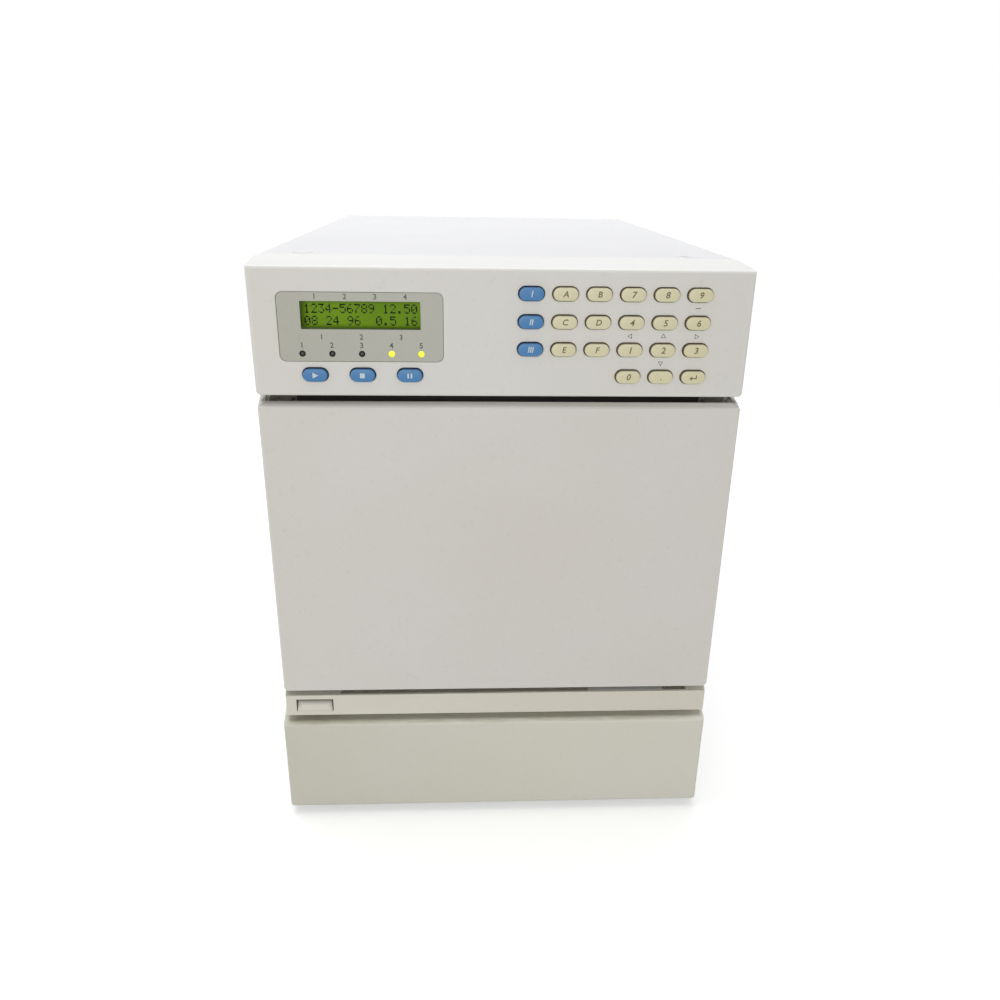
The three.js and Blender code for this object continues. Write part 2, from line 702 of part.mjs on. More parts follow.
// The power key in the sill, its own origin on the sill's face.
function powerKeySolid() {
  const halfW = POWER_KEY_WIDTH / 2;
  const halfH = POWER_KEY_HEIGHT / 2;
  const flangeY = SILL_WALL + GAP;
  const flangeEnd = flangeY + POWER_KEY_FLANGE_THICKNESS;
  const stemW = POWER_KEY_STEM_WIDTH / 2;
  const stemH = POWER_KEY_STEM_HEIGHT / 2;
  return block(-halfW, halfW, -POWER_KEY_PROUD, flangeY + GAP, -halfH, halfH)
    .add(block(
      -halfW - POWER_KEY_FLANGE, halfW + POWER_KEY_FLANGE, flangeY, flangeEnd,
      -halfH - POWER_KEY_FLANGE, halfH + POWER_KEY_FLANGE,
    ))
    .add(block(-stemW, stemW, flangeEnd - GAP, flangeEnd + POWER_KEY_STEM_LENGTH, -stemH, stemH));
}

// The four round dimples in a top at this height, which take the feet of what stands on it.
function dimpled(solid, top) {
  let made = solid;
  for (const [, x, y] of footPlaces) {
    made = made.subtract(bar("z", DIMPLE_RADIUS, top - DIMPLE_DEPTH, top + GAP, { x, y }, DIMPLE_SIDES));
  }
  return made;
}

// The wrap-around cover: one folded sheet, the top and both sides, with four dimples for a unit's feet.
function coverSolid() {
  const y0 = seamY + COVER_GAP;
  const outer = new THREE.Shape();
  outer.moveTo(-halfWidth, unitBottom);
  outer.lineTo(-halfWidth + SHEET, unitBottom);
  outer.lineTo(-halfWidth + SHEET, ceiling - SHEET_BEND + SHEET);
  outer.quadraticCurveTo(-halfWidth + SHEET, ceiling, -halfWidth + SHEET_BEND, ceiling);
  outer.lineTo(halfWidth - SHEET_BEND, ceiling);
  outer.quadraticCurveTo(halfWidth - SHEET, ceiling, halfWidth - SHEET, ceiling - SHEET_BEND + SHEET);
  outer.lineTo(halfWidth - SHEET, unitBottom);
  outer.lineTo(halfWidth, unitBottom);
  outer.lineTo(halfWidth, unitTop - SHEET_BEND);
  outer.quadraticCurveTo(halfWidth, unitTop, halfWidth - SHEET_BEND, unitTop);
  outer.lineTo(-halfWidth + SHEET_BEND, unitTop);
  outer.quadraticCurveTo(-halfWidth, unitTop, -halfWidth, unitTop - SHEET_BEND);
  outer.closePath();
  return dimpled(wall(outer, y0, backY), unitTop);
}

// A full-width sheet across the inside of the cover, standing on the floor.
function crossSheet(y0) {
  const reach = halfWidth - SHEET - GAP;
  return block(-reach, reach, y0, y0 + SHEET, floorTop + GAP, ceiling - GAP);
}

// The rear panel, with the slots in front of the fan.
function rearPanelSolid() {
  let made = crossSheet(rearPanelY);
  const middle = floorTop + FAN_ABOVE_FLOOR;
  for (let i = 0; i < VENT_COUNT; i++) {
    const z = middle + (i - (VENT_COUNT - 1) / 2) * VENT_PITCH;
    made = made.subtract(block(
      fanX - VENT_WIDTH / 2, fanX + VENT_WIDTH / 2, rearPanelY - GAP, rearPanelY + SHEET + GAP,
      z - VENT_HEIGHT / 2, z + VENT_HEIGHT / 2,
    ));
  }
  return made;
}

// The floor of the main unit, with the four pressed stand-offs that stand in the base's dimples.
function floorSolid() {
  const reach = halfWidth - SHEET - GAP;
  let made = block(-reach, reach, seamY + COVER_GAP, rearPanelY + SHEET, unitBottom, floorTop);
  for (const [, x, y] of footPlaces) {
    made = made.add(bar("z", FOOT_RADIUS, baseTop - DIMPLE_DEPTH + GAP, floorTop, { x, y }, DIMPLE_SIDES));
  }
  return made;
}

// The base cover: a moulded lid over the cooler base, open below, with the inlet's opening at the rear.
function baseCoverSolid() {
  const farY = backY - BASE_BACK_INSET;
  const inner = footprint(
    baseFaceHalf - BASE_WALL, halfWidth - BASE_WALL, frontY + BASE_WALL, farY - BASE_WALL, BASE_CORNER,
  );
  const outline = footprint(baseFaceHalf, halfWidth, frontY, farY, BASE_CORNER);
  const topOutline = footprint(
    baseFaceHalf - BASE_BEVEL, halfWidth - BASE_BEVEL, frontY + BASE_BEVEL, farY - BASE_BEVEL, BASE_CORNER,
  );
  let made = bevelledSlab(outline, topOutline, FOOT_HEIGHT, baseTop, BASE_BEVEL)
    .subtract(slab(inner, FOOT_HEIGHT - OVERRUN, baseTop - BASE_WALL - BASE_BEVEL));
  made = dimpled(made, baseTop);
  const halfW = INLET_WIDTH / 2 + GAP;
  const halfH = INLET_HEIGHT / 2 + GAP;
  const z = FOOT_HEIGHT + INLET_ABOVE_BASE;
  return made.subtract(block(
    inletX - halfW, inletX + halfW, farY - BASE_WALL - GAP, farY + GAP, z - halfH, z + halfH,
  ));
}

function basePlateSolid() {
  const inset = BASE_WALL + GAP;
  const outline = footprint(
    baseFaceHalf - inset,
    halfWidth - inset,
    frontY + inset,
    backY - BASE_BACK_INSET - inset,
    BASE_CORNER,
  );
  const z0 = FOOT_HEIGHT + BASE_PLATE_LIFT;
  return slab(outline, z0, z0 + SHEET);
}

// A rubber foot, a little conical, under the base plate.
function footSolid() {
  const top = FOOT_HEIGHT + BASE_PLATE_LIFT - GAP;
  const profile = [
    new THREE.Vector2(0, 0),
    new THREE.Vector2(FOOT_RADIUS, 0),
    new THREE.Vector2(FOOT_ROOT_RADIUS, top),
    new THREE.Vector2(0, top),
  ];
  const geometry = new THREE.LatheGeometry(profile, ROUND_SIDES);
  geometry.rotateX(Math.PI / 2);
  return solidOf(geometry);
}

function supplySolid() {
  const x1 = supplyRight;
  const x0 = x1 - SUPPLY_WIDTH;
  const y1 = backY - SUPPLY_FROM_BACK;
  const y0 = y1 - SUPPLY_LENGTH;
  const z0 = FOOT_HEIGHT + BASE_PLATE_LIFT + SHEET + GAP;
  return block(x0, x1, y0, y1, z0, z0 + SUPPLY_HEIGHT)
    .add(block(x0 - SUPPLY_FLANGE, x1 + SUPPLY_FLANGE, y0, y1, z0, z0 + SUPPLY_FLANGE_THICKNESS));
}

// The mains inlet in the base's rear wall: flange outside, body inside, socket open to the rear.
function inletSolid() {
  const z = FOOT_HEIGHT + INLET_ABOVE_BASE;
  const halfW = INLET_WIDTH / 2;
  const halfH = INLET_HEIGHT / 2;
  const flangeY = backY - INLET_FLANGE_THICKNESS;
  const socketW = SOCKET_WIDTH / 2;
  const socketH = SOCKET_HEIGHT / 2;
  const y0 = flangeY - INLET_BODY_DEPTH;
  return block(inletX - halfW, inletX + halfW, y0, flangeY + GAP, z - halfH, z + halfH)
    .add(block(
      inletX - halfW - INLET_FLANGE, inletX + halfW + INLET_FLANGE, flangeY, backY,
      z - halfH - INLET_FLANGE, z + halfH + INLET_FLANGE,
    ))
    .subtract(block(
      inletX - socketW, inletX + socketW, backY - SOCKET_DEPTH, backY + GAP, z - socketH, z + socketH,
    ));
}

// Where the rack's vials stand, the far left one at the end of the needle's travel
const homeX = halfWidth - HOME_FROM_SIDE;
const rackLeftX = RACK_FROM_SIDE - halfWidth;
const rackRoomX = homeX - VALVE_HALF_WIDTH - RACK_TO_VALVE - BLOCK_MARGIN_X - RACK_MARGIN - rackLeftX;
const rackColumns = 1 + Math.floor(rackRoomX / RACK_PITCH_X);
const rackRightX = rackLeftX + (rackColumns - 1) * RACK_PITCH_X;
const rackRearY = frontY + RACK_REAR_FROM_FRONT;
const rackFrontY = rackRearY - (RACK_ROWS - 1) * RACK_PITCH_Y;
const needleTravelY = homeY - rackFrontY;
const blockTop = floorTop + GAP + BLOCK_HEIGHT;
const rackTop = blockTop + GAP + RACK_HEIGHT;

// Heights of the needle mechanism: at the end of its travel the tip stands just over the rack
const tipZ = rackTop + NEEDLE_OVER_RACK + NEEDLE_Z_TRAVEL;
const clampZ = tipZ + NEEDLE_BELOW_CLAMP;
const yCarriageZ = clampZ + CLAMP_HEIGHT + GAP;
const beamZ = yCarriageZ + (Y_CARRIAGE_HEIGHT - BEAM_HEIGHT) / 2;
const railZ = beamZ + (BEAM_HEIGHT - RAIL_HEIGHT) / 2;
const railY = partitionY - GAP - RAIL_DEPTH;

// The rail along x on the partition, grooved at the front.
function railSolid() {
  const grooveZ = railZ + (RAIL_HEIGHT - RAIL_GROOVE) / 2;
  const reach = halfWidth - RAIL_FROM_SIDE;
  return block(-reach, reach, railY, railY + RAIL_DEPTH, railZ, railZ + RAIL_HEIGHT)
    .subtract(block(
      -WIDTH, WIDTH, railY - GAP, railY + RAIL_GROOVE_DEPTH, grooveZ, grooveZ + RAIL_GROOVE,
    ));
}

// The x carriage hooks over the rail and carries the beam that runs to the front.
// Its group's origin is the needle's axis at home, on the floor.
function xCarriageSolid() {
  const y1 = railY - GAP - homeY;
  const y0 = y1 - X_CARRIAGE_THICKNESS;
  const z0 = railZ - GAP - X_LIP;
  const z1 = railZ + RAIL_HEIGHT + GAP + X_LIP;
  const beamFront = -needleTravelY - Y_CARRIAGE_HALF_LENGTH - BEAM_FRONT_MARGIN;
  return block(-X_CARRIAGE_HALF, X_CARRIAGE_HALF, y0, y1, z0, z1)
    .add(block(-X_CARRIAGE_HALF, X_CARRIAGE_HALF, y1 - GAP, y1 + X_LIP_REACH, z0, z0 + X_LIP))
    .add(block(-X_CARRIAGE_HALF, X_CARRIAGE_HALF, y1 - GAP, y1 + X_LIP_REACH, z1 - X_LIP, z1))
    .add(block(BEAM_RIGHT - BEAM_WIDTH, BEAM_RIGHT, beamFront, y0 + GAP, beamZ, beamZ + BEAM_HEIGHT));
}

// The y carriage goes round the beam and guides the needle's square bar.
function yCarriageSolid() {
  const hole = Z_BAR_HALF + GAP;
  const length = Y_CARRIAGE_HALF_LENGTH;
  const left = BEAM_RIGHT - BEAM_WIDTH - GAP - Y_CARRIAGE_WALL;
  return block(left, Y_CARRIAGE_RIGHT, -length, length, yCarriageZ, yCarriageZ + Y_CARRIAGE_HEIGHT)
    .subtract(block(
      BEAM_RIGHT - BEAM_WIDTH - GAP, BEAM_RIGHT + GAP, -length - GAP, length + GAP,
      beamZ - GAP, beamZ + BEAM_HEIGHT + GAP,
    ))
    .subtract(block(-hole, hole, -hole, hole, yCarriageZ - GAP, yCarriageZ + Y_CARRIAGE_HEIGHT + GAP));
}

// The needle holder: the square bar and, under the carriage, the clamp that grips the needle.
function needleHolderSolid() {
  const half = Z_BAR_HALF;
  return block(-half, half, -half, half, clampZ, clampZ + CLAMP_HEIGHT + Z_BAR_LENGTH)
    .add(block(-CLAMP_HALF, CLAMP_HALF, -CLAMP_HALF, CLAMP_HALF, clampZ, clampZ + CLAMP_HEIGHT))
    .subtract(bar("z", NEEDLE_BORE_RADIUS, clampZ - GAP, clampZ + CLAMP_HEIGHT, {}, NEEDLE_SIDES));
}

// The cooling block under the rack, with slots between fins in its underside.
function coolingBlockSolid() {
  const x0 = rackLeftX - RACK_MARGIN - BLOCK_MARGIN_X;
  const x1 = rackRightX + RACK_MARGIN + BLOCK_MARGIN_X;
  const y0 = rackFrontY - RACK_MARGIN - BLOCK_MARGIN_Y;
  const y1 = rackRearY + RACK_MARGIN + BLOCK_MARGIN_Y;
  const z0 = floorTop + GAP;
  let made = block(x0, x1, y0, y1, z0, blockTop);
  for (let i = 1; i <= FIN_SLOTS; i++) {
    const x = x0 + ((x1 - x0) * i) / (FIN_SLOTS + 1);
    made = made.subtract(block(
      x - FIN_SLOT_WIDTH / 2, x + FIN_SLOT_WIDTH / 2, y0 - GAP, y1 + GAP, z0 - GAP, z0 + FIN_SLOT_DEPTH,
    ));
  }
  return made;
}

// The sample rack, with a round seat for each vial.
function rackSolid() {
  let made = block(
    rackLeftX - RACK_MARGIN, rackRightX + RACK_MARGIN, rackFrontY - RACK_MARGIN, rackRearY + RACK_MARGIN,
    rackTop - RACK_HEIGHT, rackTop,
  );
  for (let i = 0; i < rackColumns; i++) {
    for (let j = 0; j < RACK_ROWS; j++) {
      const centre = { x: rackLeftX + i * RACK_PITCH_X, y: rackFrontY + j * RACK_PITCH_Y };
      made = made.subtract(bar("z", SEAT_RADIUS, rackTop - SEAT_DEPTH, rackTop + GAP, centre, SEAT_SIDES));
    }
  }
  return made;
}

function needleSolid() {
  return bar("z", NEEDLE_RADIUS, tipZ, clampZ + CLAMP_HEIGHT - GAP, {}, NEEDLE_SIDES);
}

const rotorZ = floorTop + ROTOR_ABOVE_FLOOR;
const valveFrontY = homeY - VALVE_FRONT;

// The injection valve: motor body, the port that the needle enters, and the shaft of the rotor.
function valveSolid() {
  const z0 = floorTop + GAP;
  const top = z0 + VALVE_HEIGHT;
  const portTop = top + PORT_HEIGHT;
  const home = { x: homeX, y: homeY };
  const rotorAxis = { x: homeX, z: rotorZ };
  return block(homeX - VALVE_HALF_WIDTH, homeX + VALVE_HALF_WIDTH, valveFrontY, homeY + VALVE_REAR, z0, top)
    .add(bar("z", PORT_RADIUS, top - GAP, portTop, home))
    .subtract(bar("z", PORT_BORE_RADIUS, portTop - PORT_BORE_DEPTH, portTop + GAP, home))
    .add(bar("y", ROTOR_SHAFT_RADIUS, valveFrontY - ROTOR_SHAFT_LENGTH, valveFrontY + GAP, rotorAxis));
}

// The rotor on its shaft, with a tab that shows its position. Its own origin is on its axis.
function rotorSolid() {
  const back = -GAP;
  const front = back - ROTOR_THICKNESS;
  const tab = ROTOR_TAB_WIDTH / 2;
  return bar("y", ROTOR_RADIUS, front, back, {})
    .add(block(-tab, tab, front, back, 0, ROTOR_RADIUS + ROTOR_TAB_REACH))
    .subtract(bar("y", ROTOR_SHAFT_RADIUS + PIN_GAP, back - ROTOR_SHAFT_LENGTH, back + OVERRUN, {}));
}

const pumpTop = floorTop + GAP + PUMP_HEIGHT + BARREL_HEIGHT;
const pumpRight = halfWidth - PUMP_FROM_SIDE;
const pumpX = pumpRight - PUMP_WIDTH / 2;
const pumpY = frontY + PUMP_FRONT + PUMP_LENGTH / 2;

// The measuring pump: drive box and barrel, bored for the plunger.
function pumpSolid() {
  const z0 = floorTop + GAP;
  const y0 = frontY + PUMP_FRONT;
  const centre = { x: pumpX, y: pumpY };
  const boreDepth = PLUNGER_LENGTH - PLUNGER_PROUD + PLUNGER_TRAVEL + PLUNGER_END_ROOM;
  return block(pumpRight - PUMP_WIDTH, pumpRight, y0, y0 + PUMP_LENGTH, z0, z0 + PUMP_HEIGHT)
    .add(bar("z", BARREL_RADIUS, z0 + PUMP_HEIGHT - GAP, pumpTop, centre))
    .subtract(bar("z", PLUNGER_RADIUS + PIN_GAP, pumpTop - boreDepth, pumpTop + GAP, centre));
}

// The plunger and the head that the drive pulls. Its own origin is at the barrel's mouth.
function plungerSolid() {
  return bar("z", PLUNGER_RADIUS, PLUNGER_PROUD - PLUNGER_LENGTH, PLUNGER_PROUD, {})
    .add(bar("z", PLUNGER_HEAD_RADIUS, PLUNGER_PROUD, PLUNGER_PROUD + PLUNGER_HEAD_THICKNESS, {}));
}

// The main board on its stand-offs, with its larger components.
function mainBoardSolid() {
  const x0 = MAIN_BOARD_FROM_SIDE - halfWidth;
  const x1 = x0 + MAIN_BOARD_WIDTH;
  const z0 = floorTop + MAIN_BOARD_ABOVE_FLOOR;
  const z1 = z0 + MAIN_BOARD_HEIGHT;
  const seatY = partitionY + SHEET + GAP;
  const y0 = seatY + STANDOFF_LENGTH;
  const y1 = y0 + BOARD_THICKNESS;
  let made = block(x0, x1, y0, y1, z0, z1);
  for (const x of [x0 + STANDOFF_INSET, x1 - STANDOFF_INSET]) {
    for (const z of [z0 + STANDOFF_INSET, z1 - STANDOFF_INSET]) {
      made = made.add(bar("y", STANDOFF_RADIUS, seatY, y1, { x, z }, NEEDLE_SIDES));
    }
  }
  for (const [across, up, width, height] of CHIP_PLACE_SHARES) {
    const left = x0 + across * MAIN_BOARD_WIDTH;
    const low = z0 + up * MAIN_BOARD_HEIGHT;
    made = made.add(block(
      left, left + width * MAIN_BOARD_WIDTH, y0, y1 + CHIP_HEIGHT, low, low + height * MAIN_BOARD_HEIGHT,
    ));
  }
  return made;
}

const fanZ = floorTop + FAN_ABOVE_FLOOR;
const fanY = rearPanelY - GAP;

// The fan's frame with the struts that hold the motor's plate.
function fanFrameSolid() {
  const centre = { x: fanX, z: fanZ };
  const half = FAN_HALF;
  let made = block(fanX - half, fanX + half, fanY - FAN_DEPTH, fanY, fanZ - half, fanZ + half)
    .subtract(bar("y", FAN_BORE_RADIUS, fanY - FAN_DEPTH - GAP, fanY + GAP, centre, 2 * ROUND_SIDES))
    .add(bar("y", FAN_MOTOR_RADIUS, fanY - FAN_MOTOR_THICKNESS, fanY, centre));
  for (let i = 0; i < FAN_STRUTS; i++) {
    const geometry = new THREE.BoxGeometry(FAN_STRUT_WIDTH, FAN_MOTOR_THICKNESS, FAN_BORE_RADIUS);
    geometry.translate(0, -FAN_MOTOR_THICKNESS / 2, FAN_BORE_RADIUS / 2 + FAN_STRUT_WIDTH / 2);
    geometry.rotateY((i * 2 * Math.PI) / FAN_STRUTS + Math.PI / FAN_STRUTS);
    geometry.translate(fanX, fanY, fanZ);
    made = made.add(solidOf(geometry));
  }
  return made;
}

// The fan's rotor: a hub with pitched blades. Its own origin is on its axis, at the motor's plate.
function fanRotorSolid() {
  const y1 = -GAP;
  const y0 = -FAN_DEPTH + FAN_MOTOR_THICKNESS + FAN_HUB_FRONT_ROOM;
  let made = bar("y", FAN_HUB_RADIUS, y0, y1, {});
  const tip = FAN_BORE_RADIUS - FAN_TIP_GAP;
  const root = FAN_HUB_RADIUS / 2;
  const swept = bar("y", tip, y0, y1, {}, 2 * ROUND_SIDES);
  for (let i = 0; i < FAN_BLADES; i++) {
    const geometry = new THREE.BoxGeometry(FAN_BLADE_CHORD, FAN_BLADE_THICKNESS, tip - root);
    geometry.rotateZ(THREE.MathUtils.degToRad(FAN_BLADE_PITCH_DEG));
    geometry.translate(0, (y0 + y1) / 2, (tip + root) / 2);
    geometry.rotateY((i * 2 * Math.PI) / FAN_BLADES);
    made = made.add(solidOf(geometry).intersect(swept));
  }
  return made;
}

// Puts pieces that move together in a group at their own origin.
function moving(x, y, z, ...meshes) {
  const group = new THREE.Group();
  group.position.set(x, y, z);
  group.add(...meshes);
  return group;
}

const autosampler = new THREE.Group();
const keys = keyPlaces();

autosampler.add(
  piece("front_fascia", fasciaSolid(keys), finishes.fascia),
  piece("display_window", windowSolid(), finishes.window),
  piece("lcd_module", lcdSolid(), finishes.glass),
  piece("control_board", controlBoardSolid(keys), finishes.board),
  piece("front_frame", frameSolid(), finishes.cream),
  piece("hinge_pin_left", hingePinSolid(-1), finishes.steel),
  piece("hinge_pin_right", hingePinSolid(1), finishes.steel),
  piece("wrap_cover", coverSolid(), finishes.cover),
  piece("unit_floor", floorSolid(), finishes.steel),
  piece("partition_wall", crossSheet(partitionY), finishes.steel),
  piece("rear_panel", rearPanelSolid(), finishes.cover),
  piece("base_cover", baseCoverSolid(), finishes.base),
  piece("base_plate", basePlateSolid(), finishes.steel),
  piece("power_supply", supplySolid(), finishes.aluminium),
  piece("power_inlet", inletSolid(), finishes.black),
  piece("cooling_block", coolingBlockSolid(), finishes.aluminium),
  piece("sample_rack", rackSolid(), finishes.rack),
  piece("x_rail", railSolid(), finishes.aluminium),
  piece("injection_valve", valveSolid(), finishes.aluminium),
  piece("measuring_pump", pumpSolid(), finishes.aluminium),
  piece("main_board", mainBoardSolid(), finishes.board),
  piece("fan_frame", fanFrameSolid(), finishes.black),
);

for (const [place, x, y] of footPlaces) {
  autosampler.add(moving(x, y, 0, piece("foot_" + place, footSolid(), finishes.rubber)));
}

const keyShape = keySolid();
for (const [name, x, z, colour] of keys) {
  autosampler.add(moving(x, frontY, z, piece(name, keyShape, colour)));
}

const power = powerKeyPlace();
autosampler.add(moving(
  power.x, frontY + SILL_SETBACK, (power.z0 + power.z1) / 2,
  piece("power_key", powerKeySolid(), finishes.cream),
));

const hingeToOrigin = (solid) => solid.translate(0, -hingeY, -hingeZ);
autosampler.add(moving(
  0, hingeY, hingeZ,
  piece("door", hingeToOrigin(doorSolid()), finishes.door),
  piece("door_liner", hingeToOrigin(linerSolid()), finishes.cover),
));

const needleGroup = moving(
  0, 0, 0,
  piece("needle_holder", needleHolderSolid(), finishes.aluminium),
  piece("needle", needleSolid(), finishes.steel),
);
const yGroup = moving(0, 0, 0, piece("y_carriage", yCarriageSolid(), finishes.black), needleGroup);
autosampler.add(moving(homeX, homeY, 0, piece("x_carriage", xCarriageSolid(), finishes.aluminium), yGroup));

autosampler.add(
  moving(homeX, valveFrontY, rotorZ, piece("valve_rotor", rotorSolid(), finishes.steel)),
  moving(pumpX, pumpY, pumpTop, piece("pump_plunger", plungerSolid(), finishes.steel)),
  moving(fanX, fanY - FAN_MOTOR_THICKNESS, fanZ, piece("fan_rotor", fanRotorSolid(), finishes.black)),
);

export default autosampler;
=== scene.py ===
from math import radians

import bmesh
import bpy
import numpy as np
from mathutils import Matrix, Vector
from mathutils.geometry import delaunay_2d_cdt


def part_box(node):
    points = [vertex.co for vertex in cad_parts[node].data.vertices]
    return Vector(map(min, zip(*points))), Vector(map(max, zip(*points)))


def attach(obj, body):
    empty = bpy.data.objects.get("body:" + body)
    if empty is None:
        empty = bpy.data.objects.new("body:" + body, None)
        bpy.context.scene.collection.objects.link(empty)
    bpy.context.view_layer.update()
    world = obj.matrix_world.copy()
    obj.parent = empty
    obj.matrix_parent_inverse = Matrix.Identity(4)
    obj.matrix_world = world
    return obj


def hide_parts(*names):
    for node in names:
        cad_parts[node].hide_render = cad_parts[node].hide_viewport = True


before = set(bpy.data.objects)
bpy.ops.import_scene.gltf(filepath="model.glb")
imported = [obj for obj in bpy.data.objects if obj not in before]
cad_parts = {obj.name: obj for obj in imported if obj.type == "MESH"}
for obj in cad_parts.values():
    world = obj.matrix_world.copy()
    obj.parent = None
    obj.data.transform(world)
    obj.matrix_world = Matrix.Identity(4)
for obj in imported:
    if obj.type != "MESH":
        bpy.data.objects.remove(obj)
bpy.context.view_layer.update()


# Camera
# The photograph was taken from a little above the top of the unit, left of its middle.

camera_data = bpy.data.cameras.new("view")
camera_data.sensor_width = 36
camera_data.lens = 29.773
camera_data.shift_x = -0.00424
camera_data.shift_y = -0.01166
camera_data.clip_end = 50
camera = bpy.data.objects.new("view", camera_data)
camera.location = (-0.01875, -0.6129, 0.37054)
camera.rotation_euler = (radians(68.752), radians(-0.914), radians(-2.542))
bpy.context.scene.collection.objects.link(camera)
bpy.context.scene.camera = camera


# Front fascia
# A tub of warm grey moulded plastic, open at the back, with a fine grain on its outside.
# Its sides widen towards the sheet-metal cover that starts 57 mm behind the face.
# The key openings and the display's opening are moulded in, and the marks are printed on it.

FACE_Y = -208.5
FACE_HALF = 122.35
FULL_HALF = 130.0
SWELL_Y = FACE_Y + 45
SEAM_Y = FACE_Y + 57


class Socket:
    """An output of a material's node. Each operator on it adds the Math node that works it out."""

    def __init__(self, tree, output=None):
        self.tree = tree
        self.output = output

    def node(self, kind, settings=None, inputs=None, output=0):
        """A new node of this kind: its settings first, then the values or links of its inputs."""
        made = self.tree.nodes.new("ShaderNode" + kind)
        for name, value in (settings or {}).items():
            setattr(made, name, value)
        for name, value in (inputs or {}).items():
            if isinstance(value, Socket):
                self.tree.links.new(value.output, made.inputs[name])
            else:
                made.inputs[name].default_value = value
        return Socket(self.tree, made.outputs[output])

    def math(self, operation, *terms):
        return self.node("Math", {"operation": operation}, dict(enumerate(terms)))

    def __add__(self, other):
        return self.math("ADD", self, other)

    def __sub__(self, other):
        return self.math("SUBTRACT", self, other)

    def __rsub__(self, other):
        return self.math("SUBTRACT", other, self)

    def __mul__(self, other):
        return self.math("MULTIPLY", self, other)

    def __gt__(self, other):
        return self.math("GREATER_THAN", self, other)

    def __lt__(self, other):
        return self.math("LESS_THAN", self, other)

    __radd__ = __add__
    __rmul__ = __mul__

    def capped(self):
        return self.math("MINIMUM", self, 1.0)

    def between(self, low, high):
        """0 up to low, 1 from high, and an even slope between them."""
        return self.node("MapRange", None, {"Value": self, "From Min": low, "From Max": high})

    def along(self, axis):
        """One of this vector's three parts, as a value in metres."""
        return self.node("SeparateXYZ", None, {0: self}, axis)

    def parts(self):
        return [self.along(axis) for axis in range(3)]

    def mix(self, first, second):
        """The first colour where this is 0, the second where it is 1."""
        return self.node("Mix", {"data_type": "RGBA"}, {0: self, 6: first, 7: second}, 2)

    def stretched(self, scale, turn=0.0):
        """This place with its three axes stretched, and then turned about the upright one."""
        return self.node("Mapping", None, {
            "Vector": self, "Rotation": (0, 0, turn), "Scale": scale,
        })

    def noise(self, scale, detail=2, roughness=0.5):
        """Noise at this place, with this many features per metre."""
        return self.node("TexNoise", None, {
            "Vector": self, "Scale": scale, "Detail": detail, "Roughness": roughness,
        })

    def bump(self, strength, depth):
        """The normal of a surface that this raises by up to a depth in metres."""
        return self.node("Bump", None, {"Strength": strength, "Distance": depth, "Height": self})


def linear(red, green, blue):
    """A colour written as 0-255 display values, as the linear values that shaders use."""
    part = np.array([red, green, blue]) / 255
    low = part / 12.92
    high = ((part + 0.055) / 1.055) ** 2.4
    return (*np.where(part < 0.04045, low, high).tolist(), 1.0)


def new_finish(name, **constants):
    """An empty material with its place on the object and its surface shader with values set."""
    material = bpy.data.materials.new(name)
    material.use_nodes = True
    surface = material.node_tree.nodes["Principled BSDF"]
    for key, value in constants.items():
        surface.inputs[key.replace("_", " ")].default_value = value
    place = Socket(material.node_tree).node("TexCoord", output="Object")
    return material, place, surface


def feed(surface, **links):
    """Joins sockets to the named inputs of a surface shader."""
    for key, value in links.items():
        value.tree.links.new(value.output, surface.inputs[key.replace("_", " ")])


def moulded(name, colour, aged, grain=0.55, depth=0.012, roughness=0.5, dirt_and_shade_colour=(70, 56, 34),
            extra_dirt_and_shade=None):
    """Moulded plastic. Its colour drifts towards an aged one in broad clouds, edges are rubbed a
    little lighter and smoother, corners and gaps hold dirt and painted shade in one dark tone, and
    a fine grain roughens it all, its size and depth in millimetres. A function of the place and the
    clouds may say where more dirt lies and more shade is painted."""
    material, place, surface = new_finish(name)
    worn, soil_and_shade = (place.node("Attribute", {"attribute_name": mark}, output="Fac")
                    for mark in ("worn", "soil_and_shade"))
    clouds = place.noise(9, 4, 0.55)
    specks = place.noise(420)
    pores = place.noise(1000 / grain)
    streaks = place.stretched((14, 14, 260)).noise(1, 5).between(0.62, 0.75)
    tone = clouds.between(0.3, 0.72).mix(linear(*colour), linear(*aged))
    tone = (specks.between(0.6, 0.8) * 0.06).mix(tone, linear(*dirt_and_shade_colour))
    tone = (worn * 0.35).mix(tone, linear(*[min(255, part + 14) for part in colour]))
    # The dark tone marks both dirt and painted shade in gaps, recesses and under overhangs.
    grime_and_shade = soil_and_shade * (clouds * 0.5 + 0.6)
    if extra_dirt_and_shade:
        grime_and_shade = grime_and_shade + extra_dirt_and_shade(place, clouds)
    tone = grime_and_shade.capped().mix(tone, linear(*dirt_and_shade_colour))
    rough = roughness + (clouds - 0.5) * 0.12 + (specks - 0.5) * 0.08 - worn * 0.1 - streaks * 0.06
    feed(surface, Base_Color=tone, Roughness=rough,
         Normal=(pores + streaks * 0.4).bump(0.6, depth / 1000))
    return material


def rounding(radius, steps=4):
    """A quarter circle as rows of (inset, depth), from the flat to the wall."""
    angle = np.linspace(0, np.pi / 2, steps + 1)
    return np.column_stack([radius * (1 - np.sin(angle)), radius * (1 - np.cos(angle))])


def frame_outline(half, z0, z1, lower, upper, steps=6, hold=0.3):
    """A closed outline in x and z, anticlockwise from the lower right: a rectangle with its lower
    and upper corners rounded. A point beside each arc keeps the straights evenly lit."""
    parts = []
    for turn, (side, z, up, radius) in enumerate([
        (1, z0, 1, lower), (1, z1, -1, upper), (-1, z1, -1, upper), (-1, z0, 1, lower),
    ]):
        angle = np.linspace(turn - 1, turn, steps + 1) * np.pi / 2
        across, along = np.cos(angle), np.sin(angle)
        arc = np.column_stack([side * (half - radius) + radius * across,
                               z + up * radius + radius * along])
        before = arc[0] - hold * np.array([-along[0], across[0]])
        after = arc[-1] + hold * np.array([-along[-1], across[-1]])
        parts += [before[None], arc, after[None]]
    return np.concatenate(parts)


